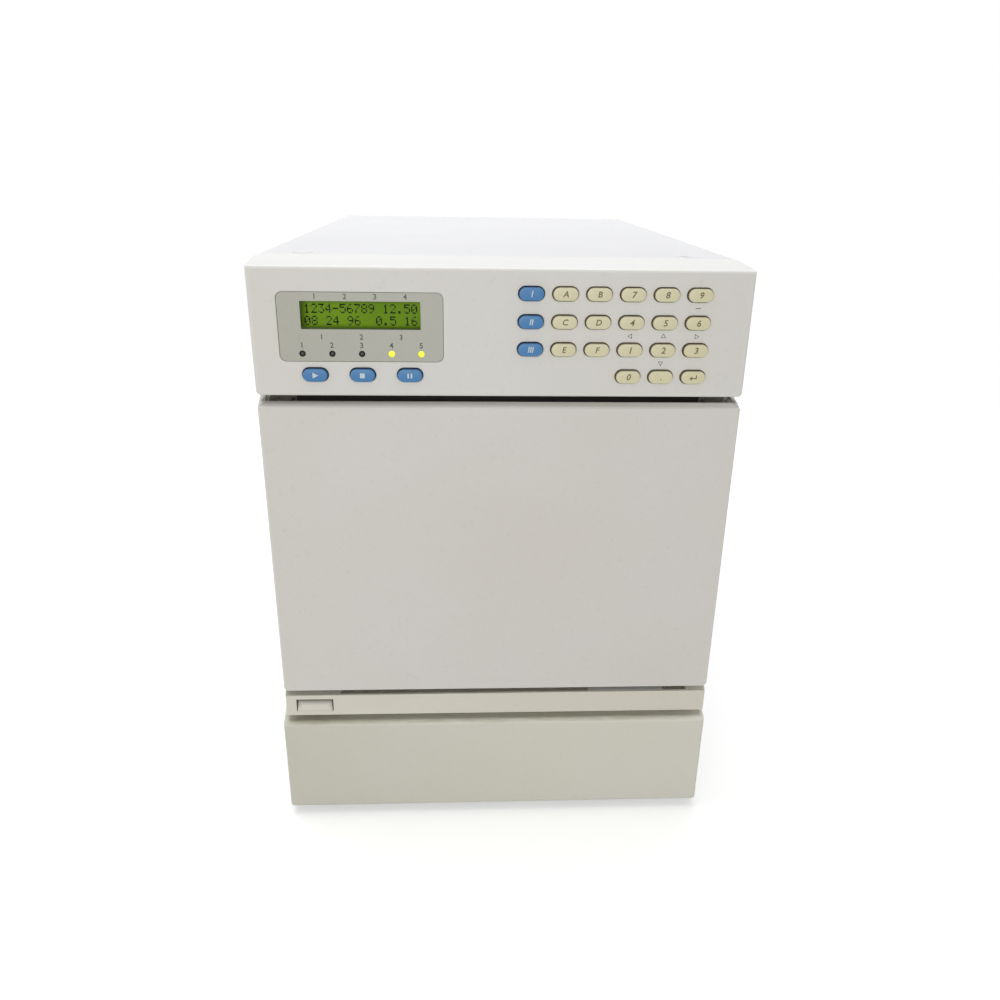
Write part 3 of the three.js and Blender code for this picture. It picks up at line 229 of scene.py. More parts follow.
def opening(x0, x1, z0, z1, corner, grow=0.0, steps=2, hold=0.3):
    """The outline of a rounded rectangle, grown outwards by a distance."""
    corner = corner + grow
    flat = frame_outline((x1 - x0) / 2 + grow, z0 - grow, z1 + grow, corner, corner, steps, hold)
    return flat + np.array([(x0 + x1) / 2, 0])


def at_y(outline, y):
    """An outline in x and z, stood at a distance y."""
    return np.insert(outline, 1, y, axis=1)


def patch(points, faces, soil_and_shade=0.0, worn=0.0, finish=0):
    """Points in millimetres with their faces, their two marks from 0 to 1, and their finish."""
    count = len(points)
    marks = [np.array(np.broadcast_to(mark, count), float) for mark in (soil_and_shade, worn)]
    return np.asarray(points, float), [list(face) for face in faces], *marks, finish


def skin(rows, closed=True, ends=(), soil_and_shade=0.0, worn=0.0, finish=0):
    """A grid of points as quads: each joins two neighbours of a row with those of the next row. The
    rows given as ends (0 the first, -1 the last) are closed by a face. The marks are given once for
    each row, or for each point of each row."""
    rows = np.asarray(rows, float)
    count, width = rows.shape[:2]
    index = np.arange(count * width).reshape(count, width)
    round_it = np.hstack([index, index[:, :1]]) if closed else index
    corners = [round_it[:-1, :-1], round_it[:-1, 1:], round_it[1:, 1:], round_it[1:, :-1]]
    faces = np.stack(corners, -1).reshape(-1, 4).tolist() + [index[end].tolist() for end in ends]
    marks = [mark if np.ndim(mark) > 1 else np.reshape(mark, (-1, 1)) for mark in (soil_and_shade, worn)]
    marks = [np.broadcast_to(mark, (count, width)).ravel() for mark in marks]
    return patch(rows.reshape(-1, 3), faces, *marks, finish)


def inside(points, loop):
    """Which points lie in a closed loop: those with an odd number of its edges to their right."""
    x, y = points[:, :1], points[:, 1:]
    ahead = np.roll(loop, -1, axis=0)
    spans = (loop[:, 1] > y) != (ahead[:, 1] > y)
    rise = np.where(ahead[:, 1] == loop[:, 1], 1, ahead[:, 1] - loop[:, 1])
    crossing = loop[:, 0] + (y - loop[:, 1]) / rise * (ahead[:, 0] - loop[:, 0])
    return (spans & (x < crossing)).sum(1) % 2 == 1


def plate(row, holes=(), axis=1, soil_and_shade=0.0, finish=0):
    """A flat face over a row of points across an axis (1 is y, 2 is z), with holes given by their
    two other coordinates: the triangles of all outlines, less those outside or in a hole."""
    outline = np.delete(row, axis, axis=1)
    loops = [outline, *holes]
    starts = np.cumsum([0] + [len(loop) for loop in loops])
    edges = [(int(start + i), int(start + (i + 1) % len(loop)))
             for start, loop in zip(starts, loops) for i in range(len(loop))]
    corners = [Vector(point) for point in np.concatenate(loops)]
    flat, _, triangles, *_ = delaunay_2d_cdt(corners, edges, [], 0, 1e-6)
    flat = np.array([tuple(point) for point in flat])
    triangles = np.array([list(face) for face in triangles])
    middles = flat[triangles].mean(1)
    kept = inside(middles, outline)
    for hole in holes:
        kept &= ~inside(middles, hole)
    points = np.insert(flat, axis, row[0, axis], axis=1)
    return patch(points, triangles[kept].tolist(), soil_and_shade, 0.0, finish)


def build(name, patches, finishes, body, replaces=()):
    """One piece from its patches: shared points are merged, faces turned outwards and shaded
    smoothly but over sharp edges. It rides on a body and stands for the nodes that it replaces."""
    points = np.concatenate([each[0] for each in patches]) / 1000
    starts = np.cumsum([0] + [len(each[0]) for each in patches])
    faces = [[int(start) + i for i in face]
             for start, each in zip(starts, patches) for face in each[1]]
    mesh = bpy.data.meshes.new(name)
    mesh.from_pydata(points.tolist(), [], faces)
    for label, part in (("soil_and_shade", 2), ("worn", 3)):
        values = np.concatenate([each[part] for each in patches]).astype(np.float32)
        mesh.attributes.new(label, "FLOAT", "POINT").data.foreach_set("value", values)
    chosen = np.concatenate([np.full(len(each[1]), each[4]) for each in patches])
    for finish in finishes:
        mesh.materials.append(finish)
    mesh.polygons.foreach_set("material_index", chosen.astype(np.int32))
    work = bmesh.new()
    work.from_mesh(mesh)
    bmesh.ops.remove_doubles(work, verts=work.verts, dist=2e-6)
    bmesh.ops.recalc_face_normals(work, faces=work.faces)
    work.to_mesh(mesh)
    work.free()
    mesh.shade_smooth()
    mesh.set_sharp_from_angle(angle=radians(35))
    piece = bpy.data.objects.new(name, mesh)
    bpy.context.scene.collection.objects.link(piece)
    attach(piece, body)
    if replaces:
        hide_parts(*replaces)
    return piece


def node_box(node):
    """A CAD node's lowest and highest corners at rest, in millimetres."""
    low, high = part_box(node)
    return np.array(low) * 1000, np.array(high) * 1000


def half_at(y, face=FACE_HALF):
    """Half the width of a block of the front at a distance y: it widens evenly up to SWELL_Y."""
    return np.interp(y, [FACE_Y, SWELL_Y], [face, FULL_HALF])


fascia_low, fascia_high = node_box("front_fascia")
FASCIA_Z0, FASCIA_Z1 = fascia_low[2], fascia_high[2]
FASCIA_WALL = 3.0
FASCIA_EDGE = 1.2
FASCIA_CORNER = 2.4
OPENING_GAP = 0.3
OPENING_EDGE = 0.35
WINDOW_GAP = 0.15
WINDOW_FLANGE = 1.2

key_names = [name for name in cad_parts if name.startswith("key_")]
key_boxes = {name: node_box(name) for name in key_names}
key_centres = {name: (low + high) / 2 for name, (low, high) in key_boxes.items()}
KEY_WIDTH = 12.4
KEY_HEIGHT = 6.6
window_low, window_high = node_box("display_window")
WINDOW_X0, WINDOW_X1 = window_low[0] + WINDOW_FLANGE, window_high[0] - WINDOW_FLANGE
WINDOW_Z0, WINDOW_Z1 = window_low[2] + WINDOW_FLANGE, window_high[2] - WINDOW_FLANGE


def window_outline(grow):
    """The display window's rounded outline, grown outwards by a distance."""
    return opening(WINDOW_X0, WINDOW_X1, WINDOW_Z0, WINDOW_Z1, 3, grow, 6, 0.5)


def key_outline(name, grow):
    """A key's outline with its half-round ends, grown outwards by a distance."""
    x, _, z = key_centres[name]
    radius = KEY_HEIGHT / 2 + grow
    reach = (KEY_WIDTH - KEY_HEIGHT) / 2
    angle = np.linspace(-np.pi / 2, np.pi / 2, 13)
    right = np.column_stack([x + reach + radius * np.cos(angle), z + radius * np.sin(angle)])
    left = np.column_stack([x - reach - radius * np.cos(angle), z - radius * np.sin(angle)])
    return np.concatenate([right, left])


def shade_to_upper_left(shape):
    """How much painted shade sits at each point of an outline: 0.62 + 0.38 times its outward
    direction's share towards the upper left, where the dark gap shows most."""
    return 0.62 + 0.38 * (shape(1) - shape(0)) @ [-0.8, 0.6]


def fascia_row(y, inset):
    """The fascia's section at a distance y. Its upper corners grow from 1 mm to the cover's 3."""
    upper = np.interp(y, [FACE_Y, SWELL_Y], [1.0, 3.0])
    outline = frame_outline(half_at(y) - inset, FASCIA_Z0 + inset, FASCIA_Z1 - inset,
                            max(FASCIA_CORNER - inset, 0.3), max(upper - inset, 0.3))
    return at_y(outline, y)


def fascia_patches():
    """The tub's outside and inside, joined at the back, its front with all openings, and the lip
    of each opening, which rounds in and then runs straight through the wall."""
    front = [(FACE_Y + depth, inset) for inset, depth in rounding(FASCIA_EDGE)]
    back = [(SEAM_Y - depth, inset) for inset, depth in rounding(0.3, 2)[::-1]]
    rows = [(FACE_Y, FASCIA_EDGE + 0.3), *front, (FACE_Y + FASCIA_EDGE + 0.4, 0),
            (SWELL_Y - 2.5, 0), (SWELL_Y, 0), (SWELL_Y + 2.5, 0), (SEAM_Y - 0.7, 0), *back]
    outer = [fascia_row(y, inset) for y, inset in rows]
    worn = [0, *[1] * len(front), *[0] * 5, *[1] * len(back)]
    inner = [at_y(frame_outline(half_at(y) - FASCIA_WALL, FASCIA_Z0 + FASCIA_WALL,
                                FASCIA_Z1 - FASCIA_WALL, 1.5, 1.5), y)
             for y in (SEAM_Y, SWELL_Y, FACE_Y + FASCIA_WALL)]
    shapes = [lambda grow, name=name: key_outline(name, OPENING_GAP + grow) for name in key_names]
    shapes.append(lambda grow: window_outline(WINDOW_GAP + grow))
    rim = OPENING_EDGE + 0.12
    made = [skin(outer, worn=worn), skin([outer[-1], inner[0]]), skin(inner, soil_and_shade=0.3)]
    made.append(plate(outer[0], [shape(rim) for shape in shapes]))
    made.append(plate(inner[-1], [shape(0) for shape in shapes]))
    for shape in shapes:
        lip = [(rim, 0), *rounding(OPENING_EDGE, 3), (0, 1.0), (0, FASCIA_WALL)]
        # The lips darken with depth into each opening: dirt and painted shade in the gap, more
        # towards the upper left around the keys.
        side_shade = 1 if shape is shapes[-1] else shade_to_upper_left(shape)
        soil_and_shade = np.outer([0, 0, 0.05, 0.2, 0.5, 0.9, 1], side_shade * np.ones(len(shape(0))))
        rings = [at_y(shape(inset), FACE_Y + depth) for inset, depth in lip]
        made.append(skin(rings, soil_and_shade=soil_and_shade))
    return made


def printed_shape(points, y):
    """A printed symbol: its outline as one thin solid that stands just proud of a face."""
    loop = np.asarray(points, float)
    count = len(loop)
    front, back = at_y(loop, y - 0.03), at_y(loop, y + 0.15)
    faces = [list(range(count)), list(range(count, 2 * count))]
    faces += [[i, (i + 1) % count, count + (i + 1) % count, count + i] for i in range(count)]
    return patch(np.concatenate([front, back]), faces, finish=1)


def rectangle(x0, x1, z0, z1):
    """A rectangle's four corners in x and z, anticlockwise from the lower left."""
    return [[x0, z0], [x1, z0], [x1, z1], [x0, z1]]


def arrow_head(x, z, turn):
    """An outlined triangle printed on the fascia: three mitred bars, pointing the given way."""
    size, line = 1.5, 0.27
    corner = np.arange(3) * 2 * np.pi / 3 + turn
    outer = size * np.column_stack([np.cos(corner), np.sin(corner)])
    inner = outer * (1 - 2 * line / size)
    loop = np.concatenate([outer, inner]) + np.array([x, z])
    front, back = at_y(loop, FACE_Y - 0.03), at_y(loop, FACE_Y + 0.1)
    ring = [[i, (i + 1) % 3, 3 + (i + 1) % 3, 3 + i] for i in range(3)]
    sides = [[a + i, a + (i + 1) % 3, a + 6 + (i + 1) % 3, a + 6 + i]
             for a in (0, 3) for i in range(3)]
    backs = [[6 + i for i in face] for face in ring]
    return patch(np.concatenate([front, back]), ring + sides + backs, finish=1)


def marks():
    """The marks printed over some keys: arrows for the cursor and a dash."""
    made = [arrow_head(key_centres[name][0] + aside, key_centres[name][2] + above, turn)
            for name, aside, above, turn in (
                ("key_1", 0, 6.8, np.pi), ("key_2", 0, 6.8, np.pi / 2),
                ("key_3", 0, 6.8, 0.0), ("key_point", -0.4, 6.9, -np.pi / 2))]
    x, z = key_centres["key_6"][0] - 0.4, key_centres["key_6"][2] + 7.1
    return made + [printed_shape(rectangle(x - 1.3, x + 1.3, z - 0.18, z + 0.18), FACE_Y)]


fascia_plastic = moulded("fascia_plastic", (233, 232, 229), (230, 228, 223))
mark_ink = moulded("mark_ink", (92, 92, 90), (105, 104, 100), roughness=0.6, depth=0.004)
build("fascia_shell", fascia_patches() + marks(), [fascia_plastic, mark_ink], "cabinet",
      ["front_fascia"])


# Display window
# A printed grey-green plate behind the fascia's opening, with a cut-out for the liquid crystal
# module, a hole for each lamp, and plain index numbers printed on its face.

PLATE_Y = FACE_Y + 0.3
PLATE_BACK = window_high[1]
SCREEN_X0, SCREEN_X1 = -98.0, -40.3
SCREEN_Z0, SCREEN_Z1 = 295.8, 309.2
LAMP_COUNT = 5
LAMP_Z = FASCIA_Z1 - 41.8
LAMP_RADIUS = 1.45
NUMBER_SIZE = 3.8
FIELD_SIZE = 3.6
lamp_x = np.linspace(WINDOW_X0 + 10.85, WINDOW_X1 - 10.85, LAMP_COUNT)


def circle(x, z, radius, steps=24):
    """A closed outline round a point: it starts beside the point on the right."""
    angle = np.arange(steps) * 2 * np.pi / steps
    return np.column_stack([x + radius * np.cos(angle), z + radius * np.sin(angle)])


def lettering(text, x, z, size, y, depth=0.12, shear=0.0):
    """Printed characters as thin solids, centred on a place of a face that looks to the front."""
    proud = 0.03
    curve = bpy.data.curves.new("text", "FONT")
    curve.body = text
    curve.size = size
    curve.shear = shear
    curve.extrude = (depth + proud) / 2
    curve.offset = 0.018 * size
    curve.align_x = "CENTER"
    curve.align_y = "CENTER"
    curve.resolution_u = 3
    holder = bpy.data.objects.new("text", curve)
    bpy.context.scene.collection.objects.link(holder)
    bpy.context.view_layer.update()
    shown = holder.evaluated_get(bpy.context.evaluated_depsgraph_get())
    mesh = bpy.data.meshes.new_from_object(shown)
    flat = np.empty(len(mesh.vertices) * 3)
    mesh.vertices.foreach_get("co", flat)
    flat = flat.reshape(-1, 3)
    faces = [list(polygon.vertices) for polygon in mesh.polygons]
    bpy.data.objects.remove(holder)
    bpy.data.curves.remove(curve)
    bpy.data.meshes.remove(mesh)
    lift = flat[:, 2] - (depth - proud) / 2
    return patch(np.column_stack([x + flat[:, 0], y - lift, z + flat[:, 1]]), faces, finish=1)


def window_patches():
    """The plate with its flange, its openings, and a number over each lamp and over and under each
    field of the screen."""
    outer = [at_y(window_outline(grow), y) for grow, y in (
        (-0.25, PLATE_Y), (-0.1, PLATE_Y), (0, PLATE_Y + 0.1), (0, PLATE_Y + 3),
        (WINDOW_FLANGE, PLATE_Y + 3), (WINDOW_FLANGE, PLATE_BACK))]
    shapes = [lambda grow: opening(SCREEN_X0, SCREEN_X1, SCREEN_Z0, SCREEN_Z1, 0.3, grow, 3)]
    shapes += [lambda grow, x=x: circle(x, LAMP_Z, LAMP_RADIUS + 0.1 + grow) for x in lamp_x]
    made = [skin(outer, worn=[0, 1, 1, 0, 0, 0])]
    made.append(plate(outer[0], [shape(0.1) for shape in shapes]))
    made.append(plate(outer[-1], [shape(0) for shape in shapes]))
    for shape in shapes:
        lip = [(0.1, PLATE_Y), (0, PLATE_Y + 0.1), (0, PLATE_Y + 1), (0, PLATE_BACK)]
        # The walls of each opening darken with depth into an olive-green tone: the backlight's
        # green light painted on the screen opening's walls, and painted shade in the lamp holes.
        made.append(skin([at_y(shape(grow), y) for grow, y in lip], soil_and_shade=[0, 0.3, 1, 1]))
    made += [lettering(str(i + 1), x, LAMP_Z + 4.1, NUMBER_SIZE, PLATE_Y)
             for i, x in enumerate(lamp_x)]
    for count, z in ((4, SCREEN_Z1 + 2.2), (3, SCREEN_Z0 - 3.8)):
        places = np.linspace(SCREEN_X0, SCREEN_X1, 2 * count + 1)[1::2]
        made += [lettering(str(i + 1), x, z, FIELD_SIZE, PLATE_Y) for i, x in enumerate(places)]
    return made


# Its olive-green dark tone is painted green light from the backlight and painted shade on the walls
# of its openings.
window_print = moulded("window_print", (190, 191, 182), (185, 185, 174), depth=0.003, roughness=0.4,
                       dirt_and_shade_colour=(66, 78, 24))
window_ink = moulded("window_ink", (80, 81, 76), (88, 88, 82), depth=0.002)
build("window_plate", window_patches(), [window_print, window_ink], "cabinet",
      ["display_window"])


# Liquid crystal module
# A glass cell over a green backlight, in a dark frame. Two lines of sixteen places, each of 5 x 7
# dark dots, show plain numbers.

DIGIT_DOTS = {
    "0": "01110 10001 10011 10101 11001 10001 01110",
    "1": "00100 01100 00100 00100 00100 00100 01110",
    "2": "01110 10001 00001 00010 00100 01000 11111",
    "3": "11111 00010 00100 00010 00001 10001 01110",
    "4": "00010 00110 01010 10010 11111 00010 00010",
    "5": "11111 10000 11110 00001 00001 10001 01110",
    "6": "00110 01000 10000 11110 10001 10001 01110",
    "7": "11111 00001 00010 00100 01000 01000 01000",
    "8": "01110 10001 10001 01110 10001 10001 01110",
    "9": "01110 10001 10001 01111 00001 00010 01100",
    ".": "00000 00000 00000 00000 00000 01100 01100",
    "-": "00000 00000 00000 11111 00000 00000 00000",
}
SCREEN_LINES = ["1234-56789 12.50", "08 24 96  0.5 16"]
DOT_PITCH = 0.578
DOT_RISE = 0.64
FIRST_DOT = (1.25, 2.3)
LINE_ROWS = 9.15


def dot_centres():
    """The dark dots of both lines, in x and z: every place is six dot columns wide."""
    found = []
    for line, text in enumerate(SCREEN_LINES):
        for place, character in enumerate(text):
            rows = DIGIT_DOTS.get(character, "")
            found += [(place * 6 + column, line * LINE_ROWS + row)
                      for row, dots in enumerate(rows.split())
                      for column, dot in enumerate(dots) if dot == "1"]
    column, row = np.array(found, float).T
    return np.column_stack([SCREEN_X0 + FIRST_DOT[0] + column * DOT_PITCH,
                            SCREEN_Z1 - FIRST_DOT[1] - row * DOT_RISE])


def screen_patches():
    """The module's block with a slightly bevelled front, and a thin block for every dark dot."""
    low, high = node_box("lcd_module")
    body = [at_y(opening(low[0], high[0], low[2], high[2], 0.6 - grow, grow), y)
            for grow, y in ((-0.5, low[1]), (-0.3, low[1]), (0, low[1] + 0.3), (0, high[1]))]
    made = [skin(body, finish=1), plate(body[-1], finish=1), plate(body[0])]
    centres = dot_centres()
    corner = np.array(rectangle(-1, 1, -1, 1)) * np.array([DOT_PITCH, DOT_RISE]) * 0.5
    corners = (centres[:, None] + corner[None]).reshape(-1, 2)
    count = len(centres)
    front, back = at_y(corners, low[1] - 0.04), at_y(corners, low[1] + 0.1)
    base = np.arange(count)[:, None] * 4
    quads = [base + np.arange(4), base + 4 * count + np.arange(4)]
    quads += [base + np.array([i, (i + 1) % 4, 4 * count + (i + 1) % 4, 4 * count + i])
              for i in range(4)]
    made.append(patch(np.concatenate([front, back]), np.concatenate(quads).tolist(), finish=2))
    return made


def screen_glow():
    """The backlit cell: green, unevenly lit, with the plate's shade along three of its edges."""
    material, place, surface = new_finish("screen_glow", Specular_IOR_Level=0.1,
                                          Emission_Strength=0.34)
    fine = place.noise(1500, 1)
    tone = place.noise(30).between(0.35, 0.7).mix(linear(90, 125, 3), linear(105, 141, 8))
    tone = (fine * 0.15).mix(tone, linear(66, 100, 8))
    across, high = place.along(0), place.along(2)
    left, top, low = SCREEN_X0 / 1000, SCREEN_Z1 / 1000, SCREEN_Z0 / 1000
    shade = across.between(left + 0.003, left) + high.between(top - 0.0022, top) * 0.9
    shade = shade + high.between(low + 0.0016, low)
    tone = (shade.capped() * 0.55).mix(tone, linear(46, 62, 6))
    feed(surface, Base_Color=tone, Emission_Color=tone, Roughness=fine * 0.1 + 0.22)
    return material


screen_frame = moulded("screen_frame", (48, 50, 46), (40, 42, 38))
screen_dots = moulded("screen_dots", (30, 52, 6), (36, 58, 10), roughness=0.6, depth=0.001)
build("screen_module", screen_patches(), [screen_glow(), screen_frame, screen_dots], "cabinet",
      ["lcd_module"])


# Control board and lamps
# One green board behind the fascia with a switch dome behind each key, and five lamps with
# domed lenses that end in the window's holes. The first three are dark, the last two are lit.

board_low, board_high = node_box("control_board")
BOARD_Y = board_high[1] - 1.6
TRACKS_PER_METRE = 393.7
DARK_LAMPS = 3


def at_z(outline, z):
    """An outline in x and y, laid at a height z."""
    return np.insert(outline, 2, z, axis=1)


def dome(x, y0, y1, z, radius, crown, steps=20, finish=0):
    """A post along y from y1 to a domed end at y0: rows of circles that shrink over the crown."""
    angle = np.linspace(0, np.pi / 2, 6)[:-1]
    rows = [(radius, y1), *zip(radius * np.cos(angle), y0 + crown * (1 - np.sin(angle))),
            (radius * 0.02, y0)]
    rings = [at_y(circle(x, z, reach, steps), y) for reach, y in rows]
    return skin(rings, ends=(-1, 0), finish=finish)


def box_patch(low, high, edge=0.3):
    """A block with its edges bevelled: rows along z of a rounded rectangle in x and y."""
    low, high = np.asarray(low, float), np.asarray(high, float)
    middle = (low + high) / 2
    half = (high - low) / 2

    def row(z, inset):
        wide, deep = half[:2] - inset
        points = [[(wide - edge) * a, deep * b] if first == (a * b > 0)
                  else [wide * a, (deep - edge) * b]
                  for a, b in ((1, 1), (-1, 1), (-1, -1), (1, -1)) for first in (False, True)]
        return at_z(middle[:2] + points, z)

    rows = [row(low[2], edge), row(low[2] + edge, 0), row(high[2] - edge, 0), row(high[2], edge)]
    return skin(rows, ends=(0, -1))


def board_patches():
    """The board, and a switch dome on it behind each key."""
    made = [box_patch([board_low[0], BOARD_Y, board_low[2]], board_high)]
    for centre in key_centres.values():
        made.append(dome(centre[0], BOARD_Y - 0.8, BOARD_Y + 0.4, centre[2], 2.5, 0.5, finish=1))
    return made


def printed_board(name):
    """A circuit board under green lacquer: copper tracks on a grid show through as lighter lines,
    broken up by a coarse noise, with bright dots for the soldered holes."""
    material, place, surface = new_finish(name, Coat_Weight=0.2, Coat_Roughness=0.2)
    clouds = place.noise(60)
    across, rising = (place.math("FRACT", place.along(axis) * TRACKS_PER_METRE) for axis in (0, 2))
    lines = (across < 0.28) * (clouds > 0.5) + (rising < 0.28) * (clouds < 0.47)
    holes = (across > 0.75) * (rising > 0.75) * (clouds > 0.58)
    tone = lines.capped().mix(linear(33, 92, 60), linear(48, 122, 78))
    tone = holes.mix(tone, linear(200, 200, 196))
    rough = 0.45 - lines * 0.08 + clouds * 0.1
    feed(surface, Base_Color=tone, Roughness=rough, Normal=lines.bump(0.5, 0.00004))
    return material


def metal(name, colour, roughness=0.35, brushed=(8, 8, 900), stain=0.15):
    """Bare or plated metal: fine brush lines along one way, cloudy stains, and small scratches."""
    material, place, surface = new_finish(name)
    lines = place.stretched(brushed).noise(1, 3)
    clouds = place.noise(24, 4)
    grit = place.noise(700)
    dull = [part * 0.78 for part in colour]
    tone = (clouds.between(0.42, 0.75) * stain * 2).mix(linear(*colour), linear(*dull))
    tone = ((lines - 0.5) * 0.25 + 0.12).mix(tone, linear(*dull))
    rough = roughness + (clouds - 0.5) * 0.25 + (lines - 0.5) * 0.16 + (grit - 0.5) * 0.06
    plating = 0.9 - clouds.between(0.6, 0.85) * 0.15
    feed(surface, Base_Color=tone, Roughness=rough, Metallic=plating,
         Normal=(lines + grit * 0.4).bump(0.4, 0.00003))
    return material


steel = metal("zinc_plated_steel", (186, 188, 190))
board_green = printed_board("control_board_green")
build("key_board", board_patches(), [board_green, steel], "cabinet", ["control_board"])

lamp_dark = moulded("lamp_dark", (42, 44, 38), (36, 38, 34), roughness=0.25, depth=0.002)


def lamp_glow():
    """A lit yellow-green lens, whitish in its middle where the chip shows through."""
    material, place, surface = new_finish("lamp_glow", Roughness=0.25, Emission_Strength=1.1)
    clouds = place.noise(900, 1)
    tone = clouds.between(0.3, 0.7).mix(linear(206, 226, 30), linear(250, 252, 70))
    feed(surface, Base_Color=tone, Emission_Color=tone, Roughness=clouds * 0.1 + 0.2)
    return material


lit = lamp_glow()
for i, x in enumerate(lamp_x):
    glows = i >= DARK_LAMPS
    lens = dome(x, PLATE_Y - (0.6 if glows else 0.1), BOARD_Y, LAMP_Z, LAMP_RADIUS, 1.2, 24)
    build("lamp_%d" % (i + 1), [lens], [lit if glows else lamp_dark], "cabinet")


# Keys
# Moulded caps with half-round ends and a slightly crowned top that stand 2.2 mm out of the fascia.
# Cream ones have a brown print, blue ones a white print. Their sides are darkened with dirt and
# painted shade, more at the upper left.

KEY_INSET = 0.12
KEY_PROUD = 0.7
FLANGE_Y = FACE_Y + 3.3
STEM_Y = FACE_Y + 4.5
STEM_RADIUS = 2.0
DIGIT_SIZE = 4.3
LETTER_SIZE = 4.0
KEY_SIGNS = {"key_point": ".", "key_a": "A", "key_b": "B", "key_c": "C", "key_d": "D", "key_e": "E",
             "key_f": "F", "key_f1": "I", "key_f2": "II", "key_f3": "III"}


def key_patches(name):
    """The cap with a rounded edge and a low crown, the flange that stops it behind the fascia, and
    the stem that reaches the switch dome."""
    low, high = key_boxes[name]
    x, _, z = key_centres[name]
    top = low[1] - KEY_PROUD
    sides = [(0.0, FLANGE_Y), (KEY_INSET, FACE_Y + 0.4), (KEY_INSET, FACE_Y - 0.8),
             (KEY_INSET, top + 0.75)]
    sides += [(KEY_INSET + 0.55 * (1 - np.sin(a)), top + 0.16 + 0.5 * (1 - np.cos(a)))
              for a in np.linspace(np.pi / 2, 0, 5)]
    crown = [(1.4, top + 0.07), (2.1, top + 0.02), (2.8, top)]
    rows = [at_y(key_outline(name, -inset), y) for inset, y in sides + crown]
    # The cap's sides darken with dirt and painted shade, more towards the upper left.
    soil_and_shade = [1, 1, 1, 1, 0.85, 0.55, 0.25, 0.08, 0.02, 0, 0, 0]
    worn = [0, 0, 0, 0, 0, 0.5, 1, 1, 0.7, 0, 0, 0]
    side_shade = shade_to_upper_left(lambda grow: key_outline(name, grow))
    cap = skin(rows, ends=[-1], soil_and_shade=np.outer(soil_and_shade, side_shade), worn=worn)
    flange = [at_y(key_outline(name, 1.0), y) for y in (FLANGE_Y, STEM_Y)]
    stem = circle(x, z, STEM_RADIUS, 12)
    return [cap, skin([rows[0], *flange], soil_and_shade=1), plate(flange[1], [stem]),
            skin([at_y(stem, STEM_Y), at_y(stem, high[1])], ends=[-1])]


def key_sign(name):
    """A digit, letter or plain symbol in the middle of a key's top."""
    x, _, z = key_centres[name]
    top = key_boxes[name][0][1] - KEY_PROUD
    if name == "key_start":
        return [printed_shape([[x - 1.1, z - 1.5], [x + 1.7, z], [x - 1.1, z + 1.5]], top)]
    if name == "key_stop":
        return [printed_shape(rectangle(x - 1.2, x + 1.2, z - 1.2, z + 1.2), top)]
    if name == "key_sleep":
        return [printed_shape(rectangle(x + a, x + b, z - 1.2, z + 1.2), top)
                for a, b in ((-1.2, -0.4), (0.4, 1.2))]
    if name == "key_enter":
        arrow = [[1.7, 1.3], [1.7, -0.6], [-0.6, -0.6], [-0.6, -1.4], [-2.1, -0.35], [-0.6, 0.7],
                 [-0.6, -0.1], [1.2, -0.1], [1.2, 1.3]]
        return [printed_shape(np.array(arrow) + [x, z], top)]
    text = KEY_SIGNS.get(name, name[-1])
    size = LETTER_SIZE if name in KEY_SIGNS else DIGIT_SIZE
    return [lettering(text, x, z, size, top, shear=0.18, depth=0.25)]


cream_key = moulded("cream_key", (231, 226, 193), (227, 220, 181), roughness=0.42, depth=0.003,
                    dirt_and_shade_colour=(98, 80, 40))
blue_key = moulded("blue_key", (69, 134, 192), (63, 125, 183), roughness=0.4, depth=0.003,
                   dirt_and_shade_colour=(26, 34, 66))
brown_ink = moulded("brown_ink", (110, 98, 68), (118, 106, 76), depth=0.001)
white_ink = moulded("white_ink", (214, 226, 234), (206, 219, 228), depth=0.001)
for name in key_names:
    blue = name in ("key_f1", "key_f2", "key_f3", "key_start", "key_stop", "key_sleep")
    finishes = [blue_key, white_ink] if blue else [cream_key, brown_ink]
    build(name + "_cap", key_patches(name) + key_sign(name), finishes, name,
          [name])


# Door
# A moulded pan under the fascia that turns up on two pins. Its top edge is bevelled towards the
# gap, its lower side corners are rounded, and its back is closed by a pressed liner.

door_low, door_high = node_box("door")
DOOR_Z0, DOOR_Z1 = door_low[2] - 0.5, door_high[2]
DOOR_BACK = door_high[1]
DOOR_WALL = 3.5
DOOR_BEVEL = 2.7
DOOR_EDGE = 0.9
DOOR_CORNER = 2.6
HINGE_Y, HINGE_Z = -199.5, 250.1
BORE_RADIUS = 2.3
BOSS_RADIUS = 4.4
BOSS_X0, BOSS_X1 = 117.3, 121.9


def door_row(y, inset):
    """An open outline in x and z, from the top left round the bottom to the top right. Its top
    stays below the bevel's slope, and its lower corners are rounded."""
    half = half_at(y) - inset
    bottom = DOOR_Z0 + inset
    radius = max(DOOR_CORNER - inset, 0.3)
    hold = 0.3
    drop = max(0.0, FACE_Y + DOOR_BEVEL - y)
    shoulder = DOOR_Z1 - DOOR_BEVEL
    angle = np.linspace(0, np.pi / 2, 7)
    arc = np.column_stack([half - radius + radius * np.sin(angle),
                           bottom + radius - radius * np.cos(angle)])
    straight = [[half, shoulder - hold - inset], [half, shoulder - inset],
                [half - hold, shoulder + hold - inset],
                [half - 1.5 * (DOOR_BEVEL - drop) + inset, DOOR_Z1 - drop]]
    right = np.concatenate([[[half - radius - hold, bottom]], arc, [[half, bottom + radius + hold]],
                            straight])
    left = right[::-1] * np.array([-1, 1])
    return at_y(np.concatenate([left, right]), y)


def door_inner(y):
    """The pan's inside at a distance y: the outline drawn in by the wall, open at its top."""
    half = half_at(y) - DOOR_WALL
    across, _, high = door_row(FACE_Y + 40, 0).T
    high = np.where(high > DOOR_Z1 - DOOR_BEVEL - 1, DOOR_Z1, np.maximum(high, DOOR_Z0 + DOOR_WALL))
    across = np.where(high >= DOOR_Z1, np.sign(across) * half, across * (half / across.max()))
    return at_y(np.column_stack([across, high]), y)


